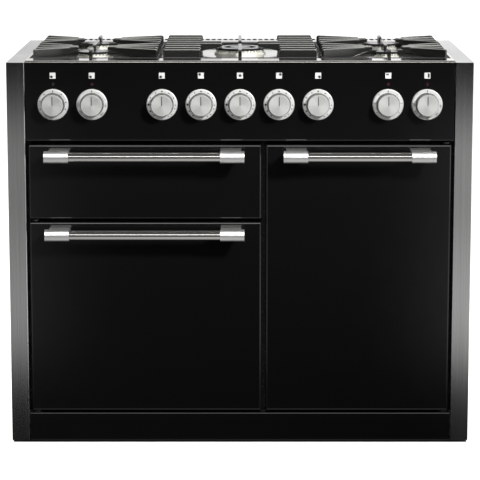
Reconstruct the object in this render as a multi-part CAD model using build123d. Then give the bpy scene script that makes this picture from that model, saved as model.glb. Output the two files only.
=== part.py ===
"""Free-standing range cooker with a gas hob, two side-opening ovens and a glide-out grill.

Millimetres, +Z up, front face towards -Y. The origin is on the floor, under the middle of the
whole box, handles included.
"""
from build123d import *
import math
import os

# Overall
BODY_WIDTH = 1082.0        # over the two side trims
BODY_DEPTH = 600.0         # door face to back panel
FLOOR_GAP = 5.0            # floor to the lower edge of trims and plinth
SHEET = 2.0                # folded steel sheet
FIT = 0.1                  # radial clearance of a turning fit
SLIDE_FIT = 0.4            # clearance between telescopic rail members

# Front layout, from the floor up and from left to right
TRIM_WIDTH = 42.0
TRIM_DEPTH = 25.0
TRIM_RAIL = 20.0           # height of the trim's top rail along the hob
TRIM_EDGE = 2.0
PLINTH_HEIGHT = 67.2
PLINTH_GAP = 6.4
LOWER_DOOR_HEIGHT = 451.8
DRAWER_GAP = 8.2
DRAWER_HEIGHT = 174.4
FASCIA_GAP = 7.7
FASCIA_HEIGHT = 182.8
TRIM_RISE = 1.0            # trim tops above the fascia
SIDE_GAP = 7.0             # door edge to side trim
LEFT_DOOR_WIDTH = 542.0
CENTRE_GAP = 10.6
END_GAP = 2.0              # plinth, fascia and hob ends to the trims

# Doors and drawer front
PANEL_WALL = 2.5
DOOR_DEPTH = 36.0          # folded depth of a door panel
DOOR_EDGE = 4.0            # rounding round a door's face
LINER_INSET = 3.0
DISH_DEPTH = 10.0
DISH_MARGIN = 6.0          # liner dish inside the oven mouth
DISH_DRAFT = 20.0
SEAL_THICK = 5.7
SEAL_GAP = 0.3
SEAL_WIDTH = 12.0
SEAL_OFFSET = 8.0          # oven mouth to the seal's inner edge
PIVOT_INSET = 12.0         # hinge pin from the door's edge and from its face
PIN_RADIUS = 4.0
PIN_ENGAGE = 14.0
HINGE_PLATE = 3.0
HINGE_EYE = 9.0

# Handles
HANDLE_STANDOFF = 50.0     # door face to bar axis
HANDLE_DROP = 22.0         # door top to bar axis
HANDLE_MARGIN = 40.0       # door edge to handle end
BAR_RADIUS = 11.0
SLEEVE_RADIUS = 14.0
SLEEVE_LENGTH = 56.0
CAP_LENGTH = 6.0
GROOVE = 1.0
BAR_ENGAGE = 44.0
BRACKET_WIDTH = 48.0
BRACKET_HEIGHT = 18.0

# Controls
KNOB_PITCH = 90.35
KNOB_INSET = 63.85         # fascia end to the axis of its outer knob
KNOB_DROP = 96.1           # fascia top to knob axis
KNOB_RADIUS = 27.0         # at its back
KNOB_FACE_RADIUS = 25.1    # at the chamfer round its face
KNOB_LENGTH = 23.0
KNOB_EDGE = 1.2
KNOB_GAP = 5.0             # fascia to the back of a knob
POINTER_WIDTH = 2.0
POINTER_LENGTH = 21.0
POINTER_DEPTH = 0.8
BEZEL_OUTER = 36.0
BEZEL_CLEAR = 0.4          # ring bore round a knob that is pushed in
BEZEL_INNER = KNOB_RADIUS + BEZEL_CLEAR
BEZEL_THICK = 5.0
BEZEL_BEVEL = 2.0
SPINDLE_SIDE = 6.0         # square spindle of a gas tap
SPINDLE_FIT = 0.2
SPINDLE_LENGTH = 38.0      # behind the fascia face
PUSH = 3.5                 # travel of a gas knob
ROTOR_RADIUS = 7.0
ROTOR_LENGTH = 30.0
ROTOR_FRONT = 14.3
TAP_SIDE = 26.0
TAP_LENGTH = 58.0
OUTLET_RADIUS = 5.0
OUTLET_LENGTH = 16.0
RAIL_RADIUS = 8.0
RAIL_DEPTH = 40.0          # fascia face to gas rail axis
RAIL_DROP = 24.0           # knob axis to gas rail axis
RAIL_CLEAR = 0.2
RAIL_OVERHANG = 30.0
INLET_RADIUS = 14.0
INLET_BORE = 9.3           # core of a half-inch pipe thread
INLET_THREAD = 18.0
INLET_LENGTH = 40.0
PIPE_BEND = 30.0
SHAFT_RADIUS = 3.0         # round spindle of a switch
SHAFT_LENGTH = 26.0
SWITCH_SIDE = 44.0
SWITCH_LENGTH = 42.0
SWITCH_BUSH = 7.0
SWITCH_BUSH_LENGTH = 6.0
SPINDLE_HOLE = 8.0
LENS_RADIUS = 3.5
LENS_FLANGE = 5.0
LENS_RISE = 47.1           # knob axis to lens axis
LENS_PROUD = 1.5
LENS_LENGTH = 6.0
FASCIA_EDGE = 6.0
FASCIA_TOP_RETURN = 40.0

# Ovens
OVEN_DEPTH = 400.0
OVEN_FLOOR = 118.0
LEFT_OVEN_WIDTH = 448.0
LEFT_OVEN_HEIGHT = 370.0
RIGHT_OVEN_WIDTH = 342.0
RIGHT_OVEN_HEIGHT = 550.0
LEDGE_WIDTH = 9.0
LEDGE_THICK = 4.0
LEDGE_LENGTH = 345.0
LEDGE_PITCH = 90.0
LEDGE_FRONT = 12.0         # oven mouth to the ledges
LEFT_LEDGE_COUNT = 3
RIGHT_LEDGE_COUNT = 5
SHELF_LEVELS_LEFT = (0, 2)
SHELF_LEVELS_RIGHT = (0, 2, 4)
SHELF_SIDE_CLEAR = 1.5
SHELF_ROD = 6.0
SHELF_WIRE = 4.0
SHELF_DEPTH = 325.0
SHELF_WIRES = 9

# Fans
FAN_RADIUS = 70.0
FAN_BLADES = 12
FAN_WIDTH = 22.0
FAN_WALL_GAP = 9.0
FAN_HUB = 12.0
FAN_SHAFT = 4.0
FAN_SHAFT_ENGAGE = 26.0
FAN_COVER_SIDE = 290.0
FAN_COVER_DEPTH = 46.0
FAN_GRILLE_RADIUS = 66.0
FAN_GRILLE_PITCH = 14.0
FAN_GRILLE_SLOT = 8.0
FAN_OUTLET_LENGTH = 180.0
FAN_OUTLET_WIDTH = 14.0
SHAFT_HOLE = 7.0
MOTOR_RADIUS = 36.0
MOTOR_LENGTH = 50.0
ELEMENT_RADIUS = 3.5
ELEMENT_SIDES = 8
RING_RADIUS = 92.0

# Grill and its runners
GRILL_SIDE_MARGIN = 24.0   # drawer front edge to the grill cavity
GRILL_FLOOR_RISE = 17.0
GRILL_HEIGHT = 146.0
GRILL_DEPTH = 430.0
RUNNER_RISE = 28.0         # cavity floor to the fixed rails
RUNNER_HEIGHT = 44.0
RUNNER_WIDTH = 12.0
RUNNER_LENGTH = 380.0
RUNNER_FRONT = 6.0         # cavity mouth to the rails
SLIDE_BAR = 5.0
LEDGE_CARRY = 16.0         # carriage ledge under the pan rim
REAR_BAR = 10.0
PAN_DEPTH = 350.0
PAN_DROP = 30.0
PAN_RIM = 12.0
PAN_FRONT = 22.0           # carriage plate to the pan
PAN_CLEAR = 1.0
TRIVET_WIRES = 11
TRIVET_WIRE = 4.0
TRIVET_CLEAR = 6.0
GRILL_ELEMENT_DROP = 16.0
GRILL_ELEMENT_PASSES = 6
GRILL_ELEMENT_PITCH = 66.0
GRILL_ELEMENT_LENGTH = 330.0

# Base
BASE_FLOOR = 40.0
FOOT_PAD = 20.0
FOOT_PAD_THICK = 8.0
FOOT_STEM = 5.0
FOOT_RISE = 20.0           # stem above the base floor
FOOT_NUT = 9.0
FOOT_NUT_THICK = 8.0
FOOT_INSET_SIDE = 57.0     # side panel to the foot's axis
FOOT_INSET_FRONT = 80.0
FOOT_INSET_BACK = 60.0
HOOD_WIDTH = 120.0         # mains terminal hood pressed into the back
HOOD_HEIGHT = 70.0
HOOD_DEPTH = 30.0
HOOD_X = -330.0
HOOD_Z = 640.0
CABLE_HOLE = 11.0
INLET_HOLE = 16.0
LOUVRE_WIDTH = 8.0
LOUVRE_LENGTH = 60.0
LOUVRES = 14
LOUVRE_PITCH = 40.0

# Hob
HOB_RIM = 4.5              # rim above the trim tops
HOB_EDGE = 4.5             # rolled front edge
WELL_DEPTH = 9.0
WELL_FRONT = 58.0          # front of the hob to the well
WELL_REAR = 505.0
WELL_SIDE = 4.0
WELL_DRAFT = 20.0
HOB_BACK_CLEAR = 3.0
HOB_SKIRT = 20.5
SLOT_WIDTH = 9.5
SLOT_LENGTH = 40.0
SLOT_PITCH = 15.0
SLOT_COUNT = 54
SLOT_DEPTH = 570.0         # door face to the middle of the vent row
BURNER_INSET = 138.0       # outer edge of a side support to its burners
BURNER_FRONT = 170.0
BURNER_REAR = 387.0
WOK_DEPTH = 279.0
SMALL_BURNER = 29.0
MEDIUM_BURNER = 39.0
WOK_BURNER = 62.0
HEAD_RISE = 11.0
HEAD_SKIRT = 4.0
HEAD_STEP = 4.0
CUP_STEP = 8.0
CUP_DEPTH = 30.0
CUP_FIT = 0.5
PORT_WIDTH = 3.0           # flame port cut in the crown's rim
PORT_DEPTH = 4.0
PORT_HEIGHT = 4.5
PORT_PITCH = 9.0
CAP_THICK = 5.0
CAP_EDGE = 1.8
CAP_OVERHANG = 3.0         # cap edge inside the burner's base
WOK_RING_WIDTH = 20.0
WOK_INNER = 26.0

# Pan supports
GRATE_RISE = 28.0          # well floor to the top of the fins
GRATE_FRONT = 75.0
GRATE_REAR = 482.0
GRATE_INNER = 190.0        # inner edge of a side support from the middle
WELL_CLEAR = 1.7           # outer edge of a side support to the foot of the well's side
GRATE_GAP = 6.0
GRATE_BAR = 9.0            # base frame bars, wide and high
FIN_THICK = 8.0
FIN_TIP = 8.0              # depth of a fin at its tip
FIN_TAPER = 46.0           # length over which a fin is cut away towards its tip
PLATE_TAPER = 3.0          # the same on the blunt fins of the centre support
FIN_CORNER = 3.0
FIN_NEAR = 29.0            # fin ends along the frame from the burner line
FIN_FAR = 86.0
FIN_NEAR_TIP = 36.0        # fin tips from the burner axis
FIN_FAR_TIP = 62.0
FINGER_TAPER = 70.0        # taper of the fingers over the wok burner
FINGER_TIP = 43.0          # long fingers of the centre support from the wok burner's axis
BLUNT_TIP = 93.0
FINGER_ROW = 28.5          # rows of fins from the wok burner's axis
BLUNT_ROWS = (85.5, 142.5, 199.0)

# Levels and planes worked out from the sizes above
HANDLE_REACH = HANDLE_STANDOFF + SLEEVE_RADIUS
FRONT = HANDLE_REACH - (BODY_DEPTH + HANDLE_REACH) / 2
BACK = FRONT + BODY_DEPTH
HALF = BODY_WIDTH / 2
INNER_HALF = HALF - TRIM_WIDTH
SIDE_OUT = HALF - SHEET
SIDE_IN = SIDE_OUT - SHEET
SPAN = INNER_HALF - END_GAP

PLINTH_TOP = FLOOR_GAP + PLINTH_HEIGHT
DOOR_BOTTOM = PLINTH_TOP + PLINTH_GAP
LOWER_DOOR_TOP = DOOR_BOTTOM + LOWER_DOOR_HEIGHT
DRAWER_BOTTOM = LOWER_DOOR_TOP + DRAWER_GAP
DOOR_TOP = DRAWER_BOTTOM + DRAWER_HEIGHT
FASCIA_BOTTOM = DOOR_TOP + FASCIA_GAP
FASCIA_TOP = FASCIA_BOTTOM + FASCIA_HEIGHT
TRIM_TOP = FASCIA_TOP + TRIM_RISE
KNOB_Z = FASCIA_TOP - KNOB_DROP
LENS_Z = KNOB_Z + LENS_RISE

LEFT_DOOR_X = (-INNER_HALF + SIDE_GAP, -INNER_HALF + SIDE_GAP + LEFT_DOOR_WIDTH)
RIGHT_DOOR_X = (LEFT_DOOR_X[1] + CENTRE_GAP, INNER_HALF - SIDE_GAP)
MULLION = (LEFT_DOOR_X[1] + RIGHT_DOOR_X[0]) / 2
FLANGE_EDGE = SIDE_IN - SHEET
LEFT_DOOR_Z = (DOOR_BOTTOM, LOWER_DOOR_TOP)
RIGHT_DOOR_Z = (DOOR_BOTTOM, DOOR_TOP)
DRAWER_Z = (DRAWER_BOTTOM, DOOR_TOP)

PANEL_BACK = FRONT + DOOR_DEPTH
LINER_BACK = PANEL_BACK + SHEET
FLANGE = LINER_BACK + SEAL_GAP + SEAL_THICK
FLANGE_BACK = FLANGE + SHEET
OVEN_REAR = FLANGE + OVEN_DEPTH
GRILL_REAR = FLANGE + GRILL_DEPTH

LEFT_OVEN_X = ((LEFT_DOOR_X[0] + LEFT_DOOR_X[1] - LEFT_OVEN_WIDTH) / 2,
               (LEFT_DOOR_X[0] + LEFT_DOOR_X[1] + LEFT_OVEN_WIDTH) / 2)
RIGHT_OVEN_X = ((RIGHT_DOOR_X[0] + RIGHT_DOOR_X[1] - RIGHT_OVEN_WIDTH) / 2,
                (RIGHT_DOOR_X[0] + RIGHT_DOOR_X[1] + RIGHT_OVEN_WIDTH) / 2)
LEFT_OVEN_Z = (OVEN_FLOOR, OVEN_FLOOR + LEFT_OVEN_HEIGHT)
RIGHT_OVEN_Z = (OVEN_FLOOR, OVEN_FLOOR + RIGHT_OVEN_HEIGHT)
GRILL_X = (LEFT_DOOR_X[0] + GRILL_SIDE_MARGIN, LEFT_DOOR_X[1] - GRILL_SIDE_MARGIN)
GRILL_Z = (DRAWER_BOTTOM + GRILL_FLOOR_RISE, DRAWER_BOTTOM + GRILL_FLOOR_RISE + GRILL_HEIGHT)
FLANGE_SPLIT = (LOWER_DOOR_TOP + DRAWER_BOTTOM) / 2

BASE_TOP = BASE_FLOOR + SHEET
HOB_TOP = TRIM_TOP + HOB_RIM
WELL_FLOOR = HOB_TOP - WELL_DEPTH
HOB_BACK = BACK - HOB_BACK_CLEAR
HOB_FRONT = FRONT + SHEET / 2
GRATE_TOP = WELL_FLOOR + GRATE_RISE
HEAD_TOP = WELL_FLOOR + HEAD_RISE
GRATE_OUTER = SPAN - WELL_SIDE - WELL_DEPTH * math.tan(math.radians(WELL_DRAFT)) - WELL_CLEAR
BURNER_X = GRATE_OUTER - BURNER_INSET

RUNNER_Z = (GRILL_Z[0] + RUNNER_RISE, GRILL_Z[0] + RUNNER_RISE + RUNNER_HEIGHT)
RUNNER_Y = (FLANGE + RUNNER_FRONT, FLANGE + RUNNER_FRONT + RUNNER_LENGTH)
MIDDLE_INSET = SHEET + SLIDE_FIT
BAR_INSET = 2 * MIDDLE_INSET
BAR_INNER = BAR_INSET + SLIDE_BAR
CARRY_Z = RUNNER_Z[0] + BAR_INSET

ELECTRIC_X = {
    "left_oven_mode_knob": -SPAN + KNOB_INSET,
    "left_oven_heat_knob": -SPAN + KNOB_INSET + KNOB_PITCH,
    "grill_heat_knob": SPAN - KNOB_INSET - KNOB_PITCH,
    "right_oven_heat_knob": SPAN - KNOB_INSET,
}
GAS_X = {
    "front_left": -2 * KNOB_PITCH,
    "rear_left": -KNOB_PITCH,
    "centre": 0.0,
    "rear_right": KNOB_PITCH,
    "front_right": 2 * KNOB_PITCH,
}
INLET_X = (GAS_X["front_right"] + ELECTRIC_X["grill_heat_knob"]) / 2
BURNERS = (
    (-BURNER_X, BURNER_FRONT, MEDIUM_BURNER),
    (-BURNER_X, BURNER_REAR, SMALL_BURNER),
    (0.0, WOK_DEPTH, WOK_BURNER),
    (BURNER_X, BURNER_FRONT, SMALL_BURNER),
    (BURNER_X, BURNER_REAR, MEDIUM_BURNER),
)


def block(x, y, z):
    """Box between two corners, each span given low to high."""
    size = (x[1] - x[0], y[1] - y[0], z[1] - z[0])
    return Pos((x[0] + x[1]) / 2, (y[0] + y[1]) / 2, (z[0] + z[1]) / 2) * Box(*size)


def inset(span, gap):
    """Span drawn in by a gap at both ends."""
    return (span[0] + gap, span[1] - gap)


def along_x(points, x):
    """Side profile of (y, z) points drawn out along X."""
    return extrude(Plane.YZ.offset(x[0]) * make_face(Polyline(points, close=True)), x[1] - x[0])


def along_y(points, y):
    """Front profile of (x, z) points drawn out along Y."""
    return extrude(Plane.XZ.offset(-y[0]) * make_face(Polyline(points, close=True)), y[0] - y[1])


def along_z(points, z):
    """Plan of (x, y) points drawn up along Z."""
    return extrude(Pos(0, 0, z[0]) * make_face(Polyline(points, close=True)), z[1] - z[0])


def turned_y(points, x, z):
    """Profile of (radius, y) points turned about a line along Y."""
    return Pos(x, 0, z) * revolve(make_face(Polyline(points, close=True)), Axis.Y)


def turned_z(points, x, y):
    """Profile of (radius, z) points turned about a line along Z."""
    return Pos(x, y, 0) * revolve(Plane.XZ * make_face(Polyline(points, close=True)), Axis.Z)


def rod_x(radius, x, y, z):
    return Pos((x[0] + x[1]) / 2, y, z) * Rot(0, 90, 0) * Cylinder(radius, x[1] - x[0])


def rod_y(radius, x, y, z):
    return Pos(x, (y[0] + y[1]) / 2, z) * Rot(90, 0, 0) * Cylinder(radius, y[1] - y[0])


def rod_z(radius, x, y, z):
    return Pos(x, y, (z[0] + z[1]) / 2) * Cylinder(radius, z[1] - z[0])


def middle(span):
    return (span[0] + span[1]) / 2


# Chassis

def base_frame():
    """Welded tray that carries the ovens, with holes for the feet."""
    x = (-SIDE_IN, SIDE_IN)
    y = (FRONT + TRIM_DEPTH, BACK - 2 * SHEET)
    z = (BASE_FLOOR, PLINTH_TOP)
    tray = block(x, y, z) - block(inset(x, SHEET), inset(y, SHEET), (BASE_TOP, PLINTH_TOP + SHEET))
    for foot_x, foot_y in foot_places():
        tray -= rod_z(FOOT_STEM + FIT, foot_x, foot_y, (BASE_FLOOR - SHEET, BASE_TOP + SHEET))
    return tray


def foot_places():
    rows = (FRONT + FOOT_INSET_FRONT, BACK - FOOT_INSET_BACK)
    return [(side * (SIDE_IN - FOOT_INSET_SIDE), y) for side in (-1, 1) for y in rows]


def levelling_feet():
    """Screw feet: a pad, a stem through the base and a nut under it."""
    feet = []
    for x, y in foot_places():
        foot = rod_z(FOOT_PAD, x, y, (0, FOOT_PAD_THICK))
        foot += rod_z(FOOT_STEM, x, y, (0, BASE_TOP + FOOT_RISE))
        nut = extrude(Pos(x, y, BASE_FLOOR) * RegularPolygon(FOOT_NUT, 6), -FOOT_NUT_THICK)
        feet.append(foot + nut)
    return Compound(feet)


def side_trim():
    """Right-hand stainless trim: a front post and the rail along the hob, folded from one blank."""
    rail_bottom = TRIM_TOP - TRIM_RAIL
    post_back = FRONT + TRIM_DEPTH
    outer = along_x([(FRONT, FLOOR_GAP), (FRONT, TRIM_TOP), (BACK, TRIM_TOP), (BACK, rail_bottom),
                     (post_back, rail_bottom), (post_back, FLOOR_GAP)], (INNER_HALF, HALF))
    outer = fillet(outer.edges().filter_by(Axis.Z).group_by(Axis.Y)[0], TRIM_EDGE)
    front, top, back = FRONT + SHEET, TRIM_TOP - SHEET, BACK - SHEET
    below, behind = FLOOR_GAP - SHEET, post_back + SHEET
    hollow = along_x([(front, below), (front, top), (back, top), (back, rail_bottom - SHEET),
                      (behind, rail_bottom - SHEET), (behind, below)], inset((INNER_HALF, HALF), SHEET))
    return outer - hollow


def side_panel():
    """Right-hand side sheet, tucked behind the trim, with a flange for the back panel."""
    front, back = FRONT + 2 * SHEET, BACK - SHEET
    flange_in = SIDE_IN - TRIM_RAIL
    plan = [(SIDE_OUT, front), (SIDE_OUT, back), (flange_in, back), (flange_in, back - SHEET),
            (SIDE_IN, back - SHEET), (SIDE_IN, front)]
    return along_z(plan, (FLOOR_GAP + SHEET, TRIM_TOP - 2 * SHEET))


def back_panel():
    """Rear sheet with cooling slots, the gas inlet hole and a hood over the mains terminals."""
    y = (BACK - SHEET, BACK)
    top = TRIM_TOP - TRIM_RAIL
    panel = block((-SIDE_IN, SIDE_IN), y, (BASE_FLOOR, top))
    hood = block((HOOD_X - HOOD_WIDTH / 2, HOOD_X + HOOD_WIDTH / 2), (BACK - HOOD_DEPTH, BACK),
                 (HOOD_Z - HOOD_HEIGHT / 2, HOOD_Z + HOOD_HEIGHT / 2))
    recess = block((HOOD_X - HOOD_WIDTH / 2 + SHEET, HOOD_X + HOOD_WIDTH / 2 - SHEET),
                   (BACK - HOOD_DEPTH + SHEET, BACK + SHEET),
                   (HOOD_Z - HOOD_HEIGHT / 2 + SHEET, HOOD_Z + HOOD_HEIGHT / 2 - SHEET))
    cable = rod_y(CABLE_HOLE, HOOD_X, (BACK - HOOD_DEPTH - SHEET, BACK), HOOD_Z)
    inlet = rod_y(INLET_HOLE, INLET_X, (y[0] - SHEET, y[1] + SHEET), KNOB_Z - RAIL_DROP)
    panel = panel + hood - recess - cable - inlet
    slot_z = (top - 2 * LOUVRE_LENGTH, top - LOUVRE_LENGTH)
    for place in range(LOUVRES):
        x = (place - (LOUVRES - 1) / 2) * LOUVRE_PITCH
        panel -= block((x - LOUVRE_WIDTH / 2, x + LOUVRE_WIDTH / 2), (y[0] - SHEET, y[1] + SHEET), slot_z)
    return panel


def plinth():
    """Folded kick panel under the doors, screwed to the base."""
    back = FRONT + TRIM_DEPTH
    low, high = FLOOR_GAP, PLINTH_TOP
    sheet = along_x([(FRONT, low), (FRONT, high), (back, high), (back, high - SHEET),
                     (FRONT + SHEET, high - SHEET), (FRONT + SHEET, low + SHEET), (back, low + SHEET),
                     (back, low)], (-SPAN, SPAN))
    return fillet(sheet.edges().filter_by(Axis.X).group_by(Axis.Y)[0], SHEET)


def fascia_panel():
    """Control panel: folded sheet with holes for spindles and lenses."""
    low, high = FASCIA_BOTTOM, FASCIA_TOP
    inner = FRONT + PANEL_WALL
    top_back = FRONT + FASCIA_TOP_RETURN
    panel = along_x([(FRONT, low), (FRONT, high), (top_back, high), (top_back, high - PANEL_WALL),
                     (inner, high - PANEL_WALL), (inner, low + PANEL_WALL), (FLANGE_BACK, low + PANEL_WALL),
                     (FLANGE_BACK, low)], (-SPAN, SPAN))
    lower_edge = panel.edges().filter_by(Axis.X).group_by(Axis.Y)[0].sort_by(Axis.Z)[0]
    panel = fillet(lower_edge, FASCIA_EDGE)
    through = (FRONT - SHEET, inner + SHEET)
    for x in list(ELECTRIC_X.values()) + list(GAS_X.values()):
        panel -= rod_y(SPINDLE_HOLE, x, through, KNOB_Z)
    for x in ELECTRIC_X.values():
        panel -= rod_y(LENS_RADIUS + FIT, x, through, LENS_Z)
    return panel


def knob_bezels():
    """Bevelled metal ring round each knob, pressed on to the fascia."""
    front = FRONT - BEZEL_THICK
    profile = [(BEZEL_INNER, FRONT), (BEZEL_INNER, front), (BEZEL_OUTER - BEZEL_BEVEL, front),
               (BEZEL_OUTER, front + BEZEL_BEVEL), (BEZEL_OUTER, FRONT)]
    places = list(ELECTRIC_X.values()) + list(GAS_X.values())
    return Compound([turned_y(profile, x, KNOB_Z) for x in places])


def indicator_lenses():
    """Neon lenses over the electric knobs, each held by a flange behind the fascia."""
    back = FRONT + PANEL_WALL
    profile = [(0, FRONT - LENS_PROUD), (LENS_RADIUS / 2, FRONT - LENS_PROUD), (LENS_RADIUS, FRONT),
               (LENS_RADIUS, back), (LENS_FLANGE, back), (LENS_FLANGE, back + LENS_LENGTH),
               (0, back + LENS_LENGTH)]
    return Compound([turned_y(profile, x, LENS_Z) for x in ELECTRIC_X.values()])


# Hob

def well_pocket(spread, drop):
    """Sunk field of the hob with sloped sides, grown by a spread and lowered by a drop."""
    x = 2 * (SPAN - WELL_SIDE) + 2 * spread
    y = WELL_REAR - WELL_FRONT + 2 * spread
    top = HOB_TOP - drop
    plan = Pos(0, FRONT + (WELL_FRONT + WELL_REAR) / 2, top) * Rectangle(x, y)
    return extrude(plan, -WELL_DEPTH, taper=WELL_DRAFT)


def hob_top():
    """Pressed stainless deck: rolled front edge, sunk well, burner holes and the rear vent row."""
    x, y = (-SPAN, SPAN), (HOB_FRONT, HOB_BACK)
    bottom = HOB_TOP - HOB_SKIRT - WELL_DEPTH / 2
    deck = block(x, y, (bottom, HOB_TOP))
    deck = fillet(deck.edges().filter_by(Axis.X).group_by(Axis.Y)[0].sort_by(Axis.Z)[-1], HOB_EDGE)
    under = block(inset(x, SHEET), inset(y, SHEET), (bottom - SHEET, HOB_TOP - SHEET))
    under -= well_pocket(SHEET, SHEET)
    deck = deck - well_pocket(0, 0) - under
    deck -= block(inset(x, -SHEET), (y[0] - SHEET, FRONT + FASCIA_TOP_RETURN + SHEET),
                  (bottom - SHEET, FASCIA_TOP))
    for burner_x, depth, radius in BURNERS:
        hole = (WELL_FLOOR - 2 * SHEET, WELL_FLOOR + SHEET)
        deck -= rod_z(radius - CUP_STEP + CUP_FIT, burner_x, FRONT + depth, hole)
    slot = block((-SLOT_WIDTH / 2, SLOT_WIDTH / 2),
                 (FRONT + SLOT_DEPTH - SLOT_LENGTH / 2, FRONT + SLOT_DEPTH + SLOT_LENGTH / 2),
                 (HOB_TOP - 2 * SHEET, HOB_TOP + SHEET))
    row = [Pos((place - (SLOT_COUNT - 1) / 2) * SLOT_PITCH, 0, 0) * slot for place in range(SLOT_COUNT)]
    return deck - row


def burner_heads():
    """Aluminium burner crowns: a skirt on the deck, flame ports round the rim and the mixing cup below."""
    heads = []
    for x, depth, radius in BURNERS:
        cup, crown = radius - CUP_STEP, radius - HEAD_STEP
        skirt_top = WELL_FLOOR + HEAD_SKIRT
        head = turned_z([(0, WELL_FLOOR - CUP_DEPTH), (cup, WELL_FLOOR - CUP_DEPTH), (cup, WELL_FLOOR),
                         (radius, WELL_FLOOR), (radius, skirt_top), (crown, skirt_top),
                         (crown, HEAD_TOP), (0, HEAD_TOP)], x, FRONT + depth)
        port = block((crown - PORT_DEPTH, crown + SHEET), (-PORT_WIDTH / 2, PORT_WIDTH / 2),
                     (HEAD_TOP - PORT_HEIGHT, HEAD_TOP + SHEET))
        count = round(2 * math.pi * crown / PORT_PITCH)
        turns = [360 / count * place for place in range(count)]
        heads.append(head - [Pos(x, FRONT + depth, 0) * Rot(0, 0, turn) * port for turn in turns])
    return Compound(heads)


def burner_caps():
    """Enamelled steel caps lying on the crowns; the wok burner has a ring and an inner cap."""
    caps = []
    top = HEAD_TOP + CAP_THICK
    for x, depth, radius in BURNERS:
        edge = radius - CAP_OVERHANG
        inner = 0
        if radius == WOK_BURNER:
            inner = edge - WOK_RING_WIDTH
            caps.append(turned_z([(0, HEAD_TOP), (WOK_INNER, HEAD_TOP), (WOK_INNER, top - CAP_EDGE),
                                  (WOK_INNER - CAP_EDGE, top), (0, top)], x, FRONT + depth))
        caps.append(turned_z([(inner, HEAD_TOP), (edge, HEAD_TOP), (edge, top - CAP_EDGE),
                              (edge - CAP_EDGE, top), (inner, top)], x, FRONT + depth))
    return Compound(caps)


def fin(start, tip, taper=FIN_TAPER):
    """Upright cast fin: full depth along its foot, cut away below over a taper towards its tip."""
    run = math.dist(start, tip)
    heading = math.degrees(math.atan2(tip[1] - start[1], tip[0] - start[0]))
    low, top, edge = WELL_FLOOR + GRATE_BAR / 2, GRATE_TOP, FIN_CORNER
    outline = make_face(Polyline((0, low), (0, top - edge), (edge, top), (run - edge, top), (run, top - edge),
                                 (run, top - FIN_TIP), (run - taper, low), close=True))
    plate = extrude(Plane.XZ * outline, FIN_THICK / 2, both=True)
    return Pos(start[0], start[1], 0) * Rot(0, 0, heading) * plate


def base_ring(x, y):
    """Low frame that joins the fins and stands on the hob."""
    z = (WELL_FLOOR, WELL_FLOOR + GRATE_BAR)
    return block(x, y, z) - block(inset(x, GRATE_BAR), inset(y, GRATE_BAR), inset(z, -SHEET))


def pan_support_right():
    """Cast-iron support over two burners, with fins fanned towards each burner's axis."""
    x = (GRATE_INNER, GRATE_OUTER)
    y = (FRONT + GRATE_FRONT, FRONT + GRATE_REAR)
    cast = base_ring(x, y)
    bridge = FRONT + (BURNER_FRONT + BURNER_REAR) / 2
    cast += block(x, (bridge - GRATE_BAR / 2, bridge + GRATE_BAR / 2), (WELL_FLOOR, WELL_FLOOR + GRATE_BAR))
    edge = FIN_THICK / 2
    fins = []
    for depth in (BURNER_FRONT, BURNER_REAR):
        centre = (BURNER_X, FRONT + depth)
        for side in (x[0] + edge, x[1] - edge):
            for offset, reach in ((-FIN_FAR, FIN_FAR_TIP), (-FIN_NEAR, FIN_NEAR_TIP),
                                  (FIN_NEAR, FIN_NEAR_TIP), (FIN_FAR, FIN_FAR_TIP)):
                start = (side, centre[1] + offset)
                share = 1 - reach / math.dist(start, centre)
                tip = (start[0] + (centre[0] - start[0]) * share, start[1] + (centre[1] - start[1]) * share)
                fins.append(fin(start, tip))
    front_burner, rear_burner = FRONT + BURNER_FRONT, FRONT + BURNER_REAR
    fins.append(fin((BURNER_X, y[0] + edge), (BURNER_X, front_burner - FIN_NEAR_TIP)))
    fins.append(fin((BURNER_X, bridge + edge), (BURNER_X, front_burner + FIN_NEAR_TIP)))
    fins.append(fin((BURNER_X, bridge - edge), (BURNER_X, rear_burner - FIN_NEAR_TIP)))
    fins.append(fin((BURNER_X, y[1] - edge), (BURNER_X, rear_burner + FIN_NEAR_TIP)))
    return cast + fins


def pan_support_centre():
    """Cast-iron support over the wok burner, with parallel fins and long middle fingers."""
    half = GRATE_INNER - GRATE_GAP
    y = (FRONT + GRATE_FRONT, FRONT + GRATE_REAR)
    cast = base_ring((-half, half), y)
    centre = FRONT + WOK_DEPTH
    edge = FIN_THICK / 2
    fins = []
    for side in (-1, 1):
        for row in (-1, 1):
            finger = centre + row * FINGER_ROW
            fins.append(fin((side * (half - edge), finger), (side * FINGER_TIP, finger), FINGER_TAPER))
            for offset in BLUNT_ROWS:
                blunt = centre + row * offset
                fins.append(fin((side * (half - edge), blunt), (side * BLUNT_TIP, blunt), PLATE_TAPER))
    fins.append(fin((0, y[0] + edge), (0, centre - FINGER_TIP), FINGER_TAPER))
    fins.append(fin((0, y[1] - edge), (0, centre + FINGER_TIP), FINGER_TAPER))
    return cast + fins


# Gas and electric controls

def gas_rail():
    """Supply pipe behind the fascia, bent back to the threaded inlet at the rear."""
    y, z = FRONT + RAIL_DEPTH, KNOB_Z - RAIL_DROP
    start = (min(GAS_X.values()) - RAIL_OVERHANG, y, z)
    route = FilletPolyline(start, (INLET_X, y, z), (INLET_X, BACK - INLET_LENGTH, z), radius=PIPE_BEND)
    pipe = sweep(Plane(origin=start, z_dir=(1, 0, 0)) * Circle(RAIL_RADIUS), path=route)
    socket = rod_y(INLET_RADIUS, INLET_X, (BACK - INLET_LENGTH, BACK), z)
    socket -= rod_y(INLET_BORE, INLET_X, (BACK - INLET_THREAD, BACK + SHEET), z)
    return pipe + socket


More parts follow.
